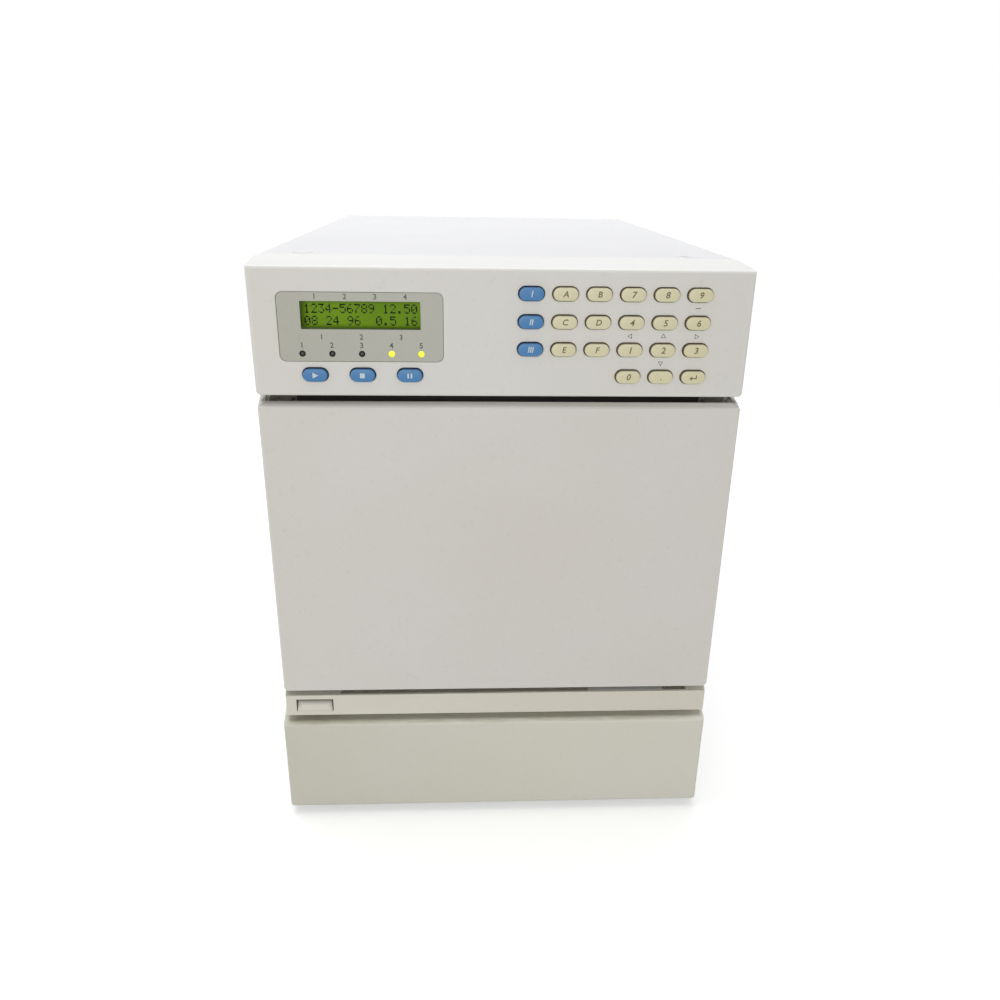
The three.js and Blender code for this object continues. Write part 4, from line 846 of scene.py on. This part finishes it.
def door_patches():
    """The pan's outside in two parts, in front of and behind the end of the bevel, then its face,
    its inside, and the rim at its top. Painted shade from the fascia's overhang darkens the bevel,
    and a little darkens the rim."""
    front = [(FACE_Y + depth, inset) for inset, depth in rounding(DOOR_EDGE)]
    back = [(DOOR_BACK - depth, inset) for inset, depth in rounding(0.3, 2)[::-1]]
    first = [door_row(y, inset) for y, inset in
             [(FACE_Y, DOOR_EDGE + 0.3), *front, (FACE_Y + DOOR_BEVEL, 0)]]
    later = [door_row(y, inset) for y, inset in
             [(FACE_Y + DOOR_BEVEL, 0), (FACE_Y + 3.4, 0), (DOOR_BACK - 0.7, 0), *back]]
    inner = [door_inner(DOOR_BACK), door_inner(FACE_Y + DOOR_WALL)]
    made = [skin(first, worn=[0, *[1] * len(front), 0.6]),
            skin(later, closed=False, worn=[0.3, 0, 0, *[1] * len(back)])]
    # Painted shade under the fascia's overhang: the bevel darkens towards its top.
    for part in made:
        above = np.clip((part[0][:, 2] - DOOR_Z1 + DOOR_BEVEL - 0.2) / DOOR_BEVEL, 0, 1)
        part[2][:] = above * 0.85
    made += [plate(first[0]), plate(inner[1], soil_and_shade=0.5)]
    made += [skin([later[-1], inner[0]], closed=False), skin(inner, closed=False, soil_and_shade=0.5)]
    # Painted shade on the rim at the top, under the fascia.
    rim = np.array([row[-1] for row in later + inner])[:, :2]
    rim = at_z(np.concatenate([rim, rim[::-1] * np.array([-1, 1])]), DOOR_Z1)
    return made + [plate(rim, axis=2, soil_and_shade=0.2)]


def hinge_boss(side):
    """A bored boss inside the door's end that turns on the pin: its section, drawn round."""
    section = [(BOSS_X0, BORE_RADIUS), (BOSS_X0, BOSS_RADIUS), (BOSS_X1, BOSS_RADIUS),
               (BOSS_X1, BORE_RADIUS), (BOSS_X0, BORE_RADIUS)]
    return skin([np.insert(circle(HINGE_Y, HINGE_Z, radius, 20), 0, side * x, axis=1)
                 for x, radius in section])


def corner_web(side):
    """A web over the boss in the door's upper corner. Its top falls towards the middle, and painted
    shade darkens it there."""
    x0, x1 = 117.4, 121.8
    ends = sorted([side * x0, side * x1])
    part = box_patch([ends[0], -205.2, 255], [ends[1], -196, 259.1])
    inward = (x1 - side * part[0][:, 0]) / (x1 - x0)
    part[0][:, 2] -= inward * 0.8
    # Painted shade: the web darkens towards its inner end.
    part[2][:] = 0.5 * inward
    return part


door_plastic = moulded("door_plastic", (229, 227, 224), (226, 223, 217))
corners = [part(side) for part in (hinge_boss, corner_web) for side in (-1, 1)]
build("door_shell", door_patches() + corners, [door_plastic], "door", ["door"])


def dress(node, finish):
    """Gives a CAD node that stays its finish."""
    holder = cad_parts[node]
    holder.data.materials.clear()
    holder.data.materials.append(finish)


dress("door_liner", moulded("liner_plastic", (222, 221, 216), (216, 213, 204), roughness=0.55))
for node in ("hinge_pin_left", "hinge_pin_right"):
    dress(node, steel)


# Front frame
# One cream moulding: two posts, the top rail with the hinge ears, and the sill under the door.
# The sill has a slot in its top and a finger groove with a strip of felt, and carries the power
# key, a rocker, at its left.

SILL_Y = FACE_Y + 1.8
SILL_TOP = 85.0
POST_Y = -179.5
CAST_CORNER = 3.5
CORNER_SHARE = 0.2
SILL_DROP = 0.8
ROCKER_DROP = 1.4
ROCKER_REACH = 1.0
ROCKER_GAP = 1.4
ROCKER_FALL = 3.0
GRIP_X0, GRIP_X1 = 53.5, 97.6
sill_key_low, sill_key_high = node_box("power_key")


def soften(node, finish, body, width, reshape=None):
    """A copy of a CAD node with its edges rounded by a bevel, standing for the node: its loose
    triangles are merged and its flat faces joined first. Its points may be reshaped."""
    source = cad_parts[node]
    mesh = source.data.copy()
    work = bmesh.new()
    work.from_mesh(mesh)
    work.transform(source.matrix_world)
    bmesh.ops.remove_doubles(work, verts=work.verts, dist=2e-6)
    bmesh.ops.dissolve_limit(work, angle_limit=radians(1), verts=work.verts, edges=work.edges)
    bmesh.ops.recalc_face_normals(work, faces=work.faces)
    work.to_mesh(mesh)
    work.free()
    if reshape:
        points = np.empty(len(mesh.vertices) * 3)
        mesh.vertices.foreach_get("co", points)
        mesh.vertices.foreach_set("co", (reshape(points.reshape(-1, 3) * 1000) / 1000).ravel())
    mesh.materials.clear()
    mesh.materials.append(finish)
    mesh.shade_smooth()
    mesh.set_sharp_from_angle(angle=radians(40))
    piece = bpy.data.objects.new(node + "_soft", mesh)
    bpy.context.scene.collection.objects.link(piece)
    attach(piece, body)
    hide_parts(node)
    bevel = piece.modifiers.new("edges", "BEVEL")
    bevel.width = width / 1000
    bevel.segments = 2
    bevel.limit_method = "ANGLE"
    bevel.angle_limit = radians(50)


def fitted_frame(points):
    """Draws each end corner of the sill's front in towards its own corner point, to a fifth, lowers
    the sill in proportion to the distance in front of the posts, and lowers the key's opening and
    widens it to the left."""
    across, deep, high = points.T
    sign = np.sign(across)
    corner = half_at(SILL_Y)
    near = (abs(across) > corner - CAST_CORNER - 0.5) & (deep < SILL_Y + CAST_CORNER + 0.2)
    near &= high < SILL_TOP + 0.5
    drawn = np.column_stack([sign * corner + (across - sign * corner) * CORNER_SHARE,
                             SILL_Y + (deep - SILL_Y) * CORNER_SHARE, high])
    by_key = (across > sill_key_low[0]) & (across < sill_key_high[0]) & (deep < SILL_Y + 3.5)
    by_key &= (high > sill_key_low[2]) & (high < sill_key_high[2])
    forward = np.clip((POST_Y - deep) / (POST_Y - SILL_Y), 0, 1) * (high < SILL_TOP + 1)
    lowered = np.where(by_key, ROCKER_DROP, SILL_DROP * forward)
    widened = by_key & (across < (sill_key_low[0] + sill_key_high[0]) / 2)
    return (np.where(near[:, None], drawn, points) - np.outer(lowered, [0, 0, 1])
            - np.outer(widened, [ROCKER_REACH, 0, 0]))


def frame_shade(place, clouds):
    """Painted shade on the rail behind the gap over the door, lighter on the ears, and a little
    darker cloudy tone on top of the sill, more to its left.
    """
    across, deep, high = place.parts()
    ears = (across > 0.1085) + (across < -0.1085)
    rail = high.between(0.249, 0.2505) * (deep > -0.198) * (across > -0.1225) * (across < 0.1225)
    rail = rail * (0.95 - ears * 0.4)
    sill = (high > 0.0838) * (high < 0.0848) * across.between(0.04, -0.05) * (clouds * 0.5)
    return rail + sill


def power_key_patches():
    """The power key as a rocker that is pressed in at its top: its face falls back as the square
    of the height, in rows from the wall behind the sill to the middle of the face."""
    low, high = sill_key_low, sill_key_high
    middle_x = (low[0] + high[0] - ROCKER_REACH) / 2
    middle_z = (low[2] + high[2]) / 2 - ROCKER_DROP - 0.15
    half = np.array([high[0] - low[0] + ROCKER_REACH, high[2] - low[2]]) / 2 - ROCKER_GAP
    edge = [(0, 0.9), (0, 0.5), (0.1, 0.2), (0.35, 0.03), (0.8, 0)]
    rows = [at_y(frame_outline(half[0], -half[1], half[1], 0.5, 0.5, 3), SILL_Y + 4.4)]
    for inset, depth in edge + [(inset, 0) for inset in np.linspace(1.2, half[1] - 0.05, 6)]:
        flat = frame_outline(half[0] - inset, -half[1] + inset, half[1] - inset, 0.3, 0.3, 3, 0.1)
        height = (flat[:, 1] + half[1]) / (2 * half[1])
        fall = low[1] - 0.5 + depth + ROCKER_FALL * height ** 2
        rows.append(np.column_stack([flat[:, 0], fall, flat[:, 1]]))
    # Painted shade: the edge rows darken into the slot around the key.
    cap = skin([row + np.array([middle_x, 0, middle_z]) for row in rows], ends=(-1, 0),
               soil_and_shade=[1, 0.95, 0.7, 0.3, 0.1, 0.03, *[0.04] * 6],
               worn=[0, 0, 0.4, 1, 0.6, 0.2, *[0] * 6])
    # Painted shadow under the slot's upper edge: the face darkens towards its top.
    cap[2][:] += np.clip((cap[0][:, 2] - middle_z) / half[1] + 0.05, 0, 1) ** 1.6 * 1.3
    return [cap]


# Its dark tone is the painted shade in the gap over the door and on the power key.
frame_plastic = moulded("frame_plastic", (231, 229, 218), (227, 223, 209), dirt_and_shade_colour=(34, 31, 25),
                        extra_dirt_and_shade=frame_shade)
soften("front_frame", frame_plastic, "cabinet", 0.5, reshape=fitted_frame)
build("power_key_cap", power_key_patches(), [frame_plastic], "power_key", ["power_key"])
felt = moulded("grip_felt", (206, 206, 205), (197, 197, 194), grain=2.5, depth=0.06, roughness=0.9,
               dirt_and_shade_colour=(60, 58, 54))
grip_pad = box_patch([GRIP_X0, SILL_Y + 1.9, SILL_TOP - 5.4],
                     [GRIP_X1, SILL_Y + 6.6, SILL_TOP - SILL_DROP])
build("grip_pad", [grip_pad], [felt], "cabinet")


# Wrap-around cover
# One folded sheet, painted off-white, over the top and both sides. Four round dimples pressed
# into its top take the feet of a unit that stands on it.

cover_low, cover_high = node_box("wrap_cover")
SHEET = 2.0
SHEET_EDGE = 0.25
BEND = 3.0
DIMPLE_RIM = 7.2
hollows = [(x, y) for x in (-106.7, 106.7) for y in (-142.5, 141.5)]
dimple_rims = [circle(x, y, DIMPLE_RIM, 40) for x, y in hollows]


def cover_row(y, inset):
    """The folded sheet's section in x and z: from the inside's top right down round the foot, up
    the outside to the middle of the top, and the same on the left."""
    low, top, half = cover_low[2], cover_high[2], FULL_HALF

    def side(offset):
        angle = np.linspace(0, np.pi / 2, 9)
        wide, high, radius = half - offset, top - offset, BEND - offset
        arc = np.column_stack([wide - radius + radius * np.cos(angle),
                               high - radius + radius * np.sin(angle)])
        return np.concatenate([[[wide, high - radius - 0.4]], arc, [[wide - radius - 0.4, high]]])

    outer, inner = side(inset), side(SHEET - inset)
    foot = [[half - SHEET + inset, low + 0.3], [half - SHEET + inset + 0.3, low],
            [half - inset - 0.3, low], [half - inset, low + 0.3]]
    right = np.concatenate([inner[::-1], foot, outer])
    left = right[::-1] * np.array([-1, 1])
    return at_y(np.concatenate([right, left]), y)


def hollow(x, y, z):
    """A round dimple pressed into a top at this height: rings that sink as they shrink."""
    reach = [DIMPLE_RIM, 6.6, 6.1, 5.6, 4.9, 3.6, 1.8, 0.05]
    drop = [0, 0.05, 0.25, 0.62, 0.98, 1.15, 1.2, 1.2]
    rings = [at_z(circle(x, y, r, 40), z - d) for r, d in zip(reach, drop)]
    return skin(rings, ends=[-1], soil_and_shade=[0, 0, 0.05, 0.2, 0.25, 0.2, 0.1, 0.1],
                worn=[0, 0.6, 1, 0.5, 0, 0, 0, 0])


def cover_patches():
    """The sheet's two halves, each with one side, joined at the inside and closed at the front and
    the back, then its top with the dimples."""
    y0, y1 = cover_low[1], cover_high[1]
    rows = np.array([cover_row(y, inset) for y, inset in (
        (y0, SHEET_EDGE), (y0 + SHEET_EDGE, 0), (y0 + 1, 0),
        (y1 - 1, 0), (y1 - SHEET_EDGE, 0), (y1, SHEET_EDGE))])
    worn = [1, 1, 0, 0, 1, 1]
    middle = rows.shape[1] // 2
    made = [skin(part, closed=False, worn=worn) for part in (rows[:, middle:], rows[:, :middle])]
    made += [skin(rows[:, [-1, 0]], closed=False), plate(rows[0]), plate(rows[-1])]
    made += [skin(part[:, [middle - 1, middle]], closed=False, worn=marks)
             for part, marks in ((rows[:3], worn[:3]), (rows[-3:], worn[-3:]))]
    top = np.concatenate([rows[2:-2, middle - 1], rows[2:-2, middle][::-1]])
    made.append(plate(top, dimple_rims, axis=2))
    return made + [hollow(x, y, cover_high[2]) for x, y in hollows]


cover_paint = moulded("cover_paint", (225, 224, 224), (222, 221, 221), grain=0.9, depth=0.01,
                      roughness=0.42, dirt_and_shade_colour=(120, 120, 116))
build("cover_sheet", cover_patches(), [cover_paint], "cabinet", ["wrap_cover"])


# Cooler base
# A moulded lid over the lower unit, bevelled round its top, with rounded corners. The main unit's
# feet stand in its dimples, and dust and painted shade from the sill above darken the strip of its
# top that shows in front.

base_low, base_high = node_box("base_cover")
inlet_low, inlet_high = node_box("power_inlet")
BASE_HALF = 124.2
BASE_AXIS = -0.5
BASE_WALL = 3.0
BASE_TOP_EDGE = 2.5
BASE_LOW_EDGE = 2.0
BASE_CORNER = 1.3


def base_row(z, inset=0.0, back=base_high[1]):
    """The lid's plan at a height, from the back right corner round the front to the back left
    one. It widens evenly from the front up to SWELL_Y, and its front corners are rounded."""
    front = FACE_Y + inset
    radius, hold = BASE_CORNER, 0.5
    angle = np.linspace(0, -np.pi / 2, 6)
    corner = half_at(front, BASE_HALF) - inset - radius
    arc = np.column_stack([corner + radius * np.cos(angle),
                           front + radius + radius * np.sin(angle)])
    side_y = np.array([back, back - 3, SWELL_Y + 2.5, SWELL_Y, SWELL_Y - 2.5,
                       front + radius + hold])
    side = np.column_stack([half_at(side_y, BASE_HALF) - inset, side_y])
    right = np.concatenate([side, arc, [[corner - hold, front]]])
    loop = np.concatenate([right, right[::-1] * np.array([-1, 1])]) + np.array([BASE_AXIS, 0])
    return at_z(loop, z)


def base_patches():
    """The lid's skin outside and inside, its top with the dimples, and its back with the inlet's
    opening."""
    low, top = base_low[2], base_high[2]
    lower = [(low + depth, inset) for inset, depth in rounding(BASE_LOW_EDGE)]
    upper = [(top - depth, inset) for inset, depth in rounding(BASE_TOP_EDGE)[::-1]]
    steps = [*lower, (low + BASE_LOW_EDGE + 0.4, 0), (top - BASE_TOP_EDGE - 0.4, 0), *upper,
             (top, BASE_TOP_EDGE + 0.4)]
    outer = [base_row(z, inset) for z, inset in steps]
    worn = [0.5] * len(lower) + [0, 0] + [0.8] * len(upper) + [0]
    inner_back = base_high[1] - BASE_WALL
    inner = [base_row(z, BASE_WALL, inner_back) for z in (low, top - BASE_WALL)]
    inlet = opening(inlet_low[0], inlet_high[0], inlet_low[2], inlet_high[2], 0.3, 0.3)
    made = [skin(outer, closed=False, worn=worn), skin(inner, closed=False)]
    made += [plate(outer[-1], dimple_rims, axis=2), *[hollow(x, y, top) for x, y in hollows]]
    made += [plate(inner[1], axis=2), plate(outer[0], [inner[0][:, :2]], axis=2)]
    for rows in (outer, inner):
        ends = np.array([row[0] for row in rows] + [row[-1] for row in rows[::-1]])
        made.append(plate(ends, [inlet]))
    made.append(skin([at_y(inlet, base_high[1]), at_y(inlet, inner_back)]))
    return made


def base_dust_and_shade(place, clouds):
    """Greenish dust and painted shade from the sill above on the strip of the top in front of the
    main unit, thickest at its left, with fine streaks where it was wiped."""
    across, deep, high = place.parts()
    streaks = place.stretched((90, 900, 60), 0.5).noise(1, 3).between(0.35, 0.65)
    # Painted shade from the sill above, with dust, on the strip and its rounding.
    level = high.between(0.0640, 0.0655) * deep.between(-0.2015, -0.2055)
    level = level * across.between(0.121, 0.112)
    strip = level * (0.42 - across * 1.6 + (clouds - 0.5)) * (streaks * 0.5 + 0.5)
    front = (deep < -0.2) * across.between(0.03, -0.125) * 0.19
    return strip * across.between(-0.124, -0.117) + front


base_plastic = moulded("base_plastic", (231, 230, 220), (227, 226, 213), dirt_and_shade_colour=(136, 132, 90),
                       extra_dirt_and_shade=base_dust_and_shade)
build("base_lid", base_patches(), [base_plastic], "cabinet", ["base_cover"])


# Inside and out of sight
# Sheet-metal floor and partition, machined carriages, valve and pump with broken edges, a printed
# main board, a black fan, and rubber feet. All keep the CAD shape, some with rounded edges.

aluminium = metal("anodised_aluminium", (196, 199, 202), roughness=0.42, brushed=(600, 600, 30))
galvanised = metal("galvanised_sheet", (172, 176, 178), roughness=0.48, brushed=(30, 30, 30),
                   stain=0.4)
rubber = moulded("foot_rubber", (44, 44, 44), (52, 51, 49), roughness=0.85, depth=0.03,
                 dirt_and_shade_colour=(90, 84, 72))
black_plastic = moulded("black_plastic", (40, 42, 44), (46, 47, 48), dirt_and_shade_colour=(110, 104, 92))


def rack_seat_shade(place, clouds):
    """The shade in the seats of the rack, which lie inside its outline and under its top."""
    across, deep, high = place.parts()
    low, top = (corner / 1000 for corner in node_box("sample_rack"))
    within = (across > low[0] + 0.002) * (across < top[0] - 0.002)
    within = within * (deep > low[1] + 0.002) * (deep < top[1] - 0.002)
    return within * high.between(top[2] - 0.0004, top[2] - 0.003) * 0.75


rack_plastic = moulded("rack_plastic", (78, 94, 116), (86, 100, 120), roughness=0.55,
                       dirt_and_shade_colour=(16, 19, 24), extra_dirt_and_shade=rack_seat_shade)
rear_paint = moulded("rear_paint", (222, 223, 222), (216, 217, 215), grain=0.9, roughness=0.45)
for finish, nodes in [
    (galvanised, ["unit_floor", "partition_wall", "base_plate"]),
    (steel, ["needle"]),
    (aluminium, ["power_supply", "x_rail"]),
    (black_plastic, ["fan_frame", "fan_rotor"]),
    (rubber, ["foot_front_left", "foot_front_right", "foot_rear_left", "foot_rear_right"]),
    (printed_board("main_board_green"), ["main_board"]),
    (rear_paint, ["rear_panel"]),
]:
    for node in nodes:
        dress(node, finish)
for node, body, finish, slot, width in [
    ("cooling_block", "cabinet", aluminium, "aluminium", 0.6),
    ("injection_valve", "cabinet", aluminium, "aluminium", 0.6),
    ("measuring_pump", "cabinet", aluminium, "aluminium", 0.9),
    ("x_carriage", "x_carriage", aluminium, "aluminium", 0.5),
    ("needle_holder", "needle_carrier", aluminium, "aluminium", 0.4),
    ("valve_rotor", "valve_rotor", steel, "steel", 0.4),
    ("pump_plunger", "pump_plunger", steel, "steel", 0.5),
    ("y_carriage", "y_carriage", black_plastic, "black", 0.5),
    ("power_inlet", "cabinet", black_plastic, "black", 0.5),
    ("sample_rack", "cabinet", rack_plastic, "rack", 0.5),
]:
    soften(node, finish, body, width)


# Screws and mains pins
# Pan heads with a cross recess hold the rear panel and the fan behind it. Three blades stand in
# the mains inlet.

PANEL_BACK = node_box("rear_panel")[1][1]
PANEL_SCREW_X = 119
FAN_SCREW = 35.8
fan_middle = sum(node_box("fan_rotor")) / 2


def screw_head(x, z, radius=3.0):
    """A pan head on the rear panel: rings that rise and close in, then the four-armed outline of
    the recess at the top and the same outline drawn in at its floor."""
    angle = np.arange(32) * np.pi / 16
    cross = np.where(abs(np.cos(2 * angle)) > 0.9, 0.52, 0.17)
    reach = [1, 1, 0.97, 0.88, 0.72, 0.6, cross, cross * 0.8, 0.02]
    rise = [-0.05, 0.2, 0.36, 0.5, 0.58, 0.6, 0.6, 0.3, 0.28]
    rings = [at_y(circle(x, z, radius * r, 32), PANEL_BACK + radius * h)
             for r, h in zip(reach, rise)]
    return skin(rings, ends=(-1, 0), worn=[0, 0, 0.5, 1, 0.6, 0.3, 1, 0, 0],
                soil_and_shade=[0.5, 0.2, 0, 0, 0, 0, 0.2, 0.9, 1])


rear_screws = [screw_head(x, z) for x in (-PANEL_SCREW_X, 0, PANEL_SCREW_X) for z in (82, 315)]
rear_screws += [screw_head(x, 198) for x in (-PANEL_SCREW_X, PANEL_SCREW_X)]
rear_screws += [screw_head(fan_middle[0] + a * FAN_SCREW, fan_middle[2] + b * FAN_SCREW, 3.4)
                for a in (-1, 1) for b in (-1, 1)]
build("rear_screws", rear_screws, [steel], "cabinet")

inlet_x, _, inlet_z = (inlet_low + inlet_high) / 2
pins = [box_patch([inlet_x + a - 1, 195.6, inlet_z + b - 2],
                  [inlet_x + a + 1, 206.5, inlet_z + b + 2], 0.4)
        for a, b in ((-7, -2), (7, -2), (0, 2))]
build("mains_pins", pins, [steel], "cabinet")


# Studio
# A white floor that keeps the shadow, a white surrounding, a large soft lamp overhead and a weaker
# one from the front left.

def add_lamp(name, place, turn, size, power, colour):
    """A rectangular lamp: its place and size in metres, its turn in degrees, its power in watts."""
    data = bpy.data.lights.new(name, "AREA")
    data.shape = "RECTANGLE"
    data.size, data.size_y = size
    data.energy = power
    data.color = colour
    lamp = bpy.data.objects.new(name, data)
    lamp.location = place
    lamp.rotation_euler = [radians(part) for part in turn]
    bpy.context.scene.collection.objects.link(lamp)


add_lamp("overhead", (-0.2, 0.4, 1.7), (0, 0, 0), (1.5, 1.5), 19.2, (0.935, 0.96, 1.0))
add_lamp("front", (-0.36, -1.75, 0.42), (86, 0, -12), (1.5, 0.9), 9.55, (1.0, 0.97, 0.91))

floor_mesh = bpy.data.meshes.new("floor")
floor_mesh.from_pydata([(-6, -6, 0), (6, -6, 0), (6, 6, 0), (-6, 6, 0)], [], [(0, 1, 2, 3)])
floor = bpy.data.objects.new("floor", floor_mesh)
bpy.context.scene.collection.objects.link(floor)


def seen_ray(start):
    """1 for a ray from the camera or by way of gloss or glass, 0 for one that lights a surface."""
    camera_ray, gloss, glass = (start.node("LightPath", output="Is %s Ray" % kind)
                                for kind in ("Camera", "Glossy", "Transmission"))
    return start.math("MAXIMUM", camera_ray, start.math("MAXIMUM", gloss, glass))


def floor_paper():
    """White paper. It throws less light back than it shows, and far from the unit it is as
    white as the surrounding."""
    material, place, surface = new_finish("floor_paper", Roughness=0.95, Emission_Strength=0.36)
    seen = seen_ray(place)
    tone = (place.noise(2) * 0.2).mix(linear(252, 252, 252), linear(248, 248, 248))
    feed(surface, Base_Color=seen.mix((0.42, 0.42, 0.41, 1), tone),
         Emission_Color=seen.mix((0, 0, 0, 1), (1, 1, 1, 1)))
    away = place.node("VectorMath", {"operation": "LENGTH"}, {0: place}, "Value")
    white = place.node("Emission", None, {"Color": (1, 1, 1, 1), "Strength": 1.0})
    paper = Socket(place.tree, surface.outputs[0])
    blend = place.node("MixShader", None, {0: away.between(0.55, 1.3) * seen, 1: paper, 2: white})
    place.tree.links.new(blend.output, place.tree.nodes["Material Output"].inputs["Surface"])
    return material


floor_mesh.materials.append(floor_paper())

world = bpy.data.worlds.new("studio")
world.use_nodes = True
sky = Socket(world.node_tree)
background = world.node_tree.nodes["Background"]
background.inputs["Color"].default_value = (1, 1, 1, 1)
world.node_tree.links.new((seen_ray(sky) * 0.55 + 0.45).output, background.inputs["Strength"])
bpy.context.scene.world = world
bpy.context.scene.view_settings.view_transform = "Standard"
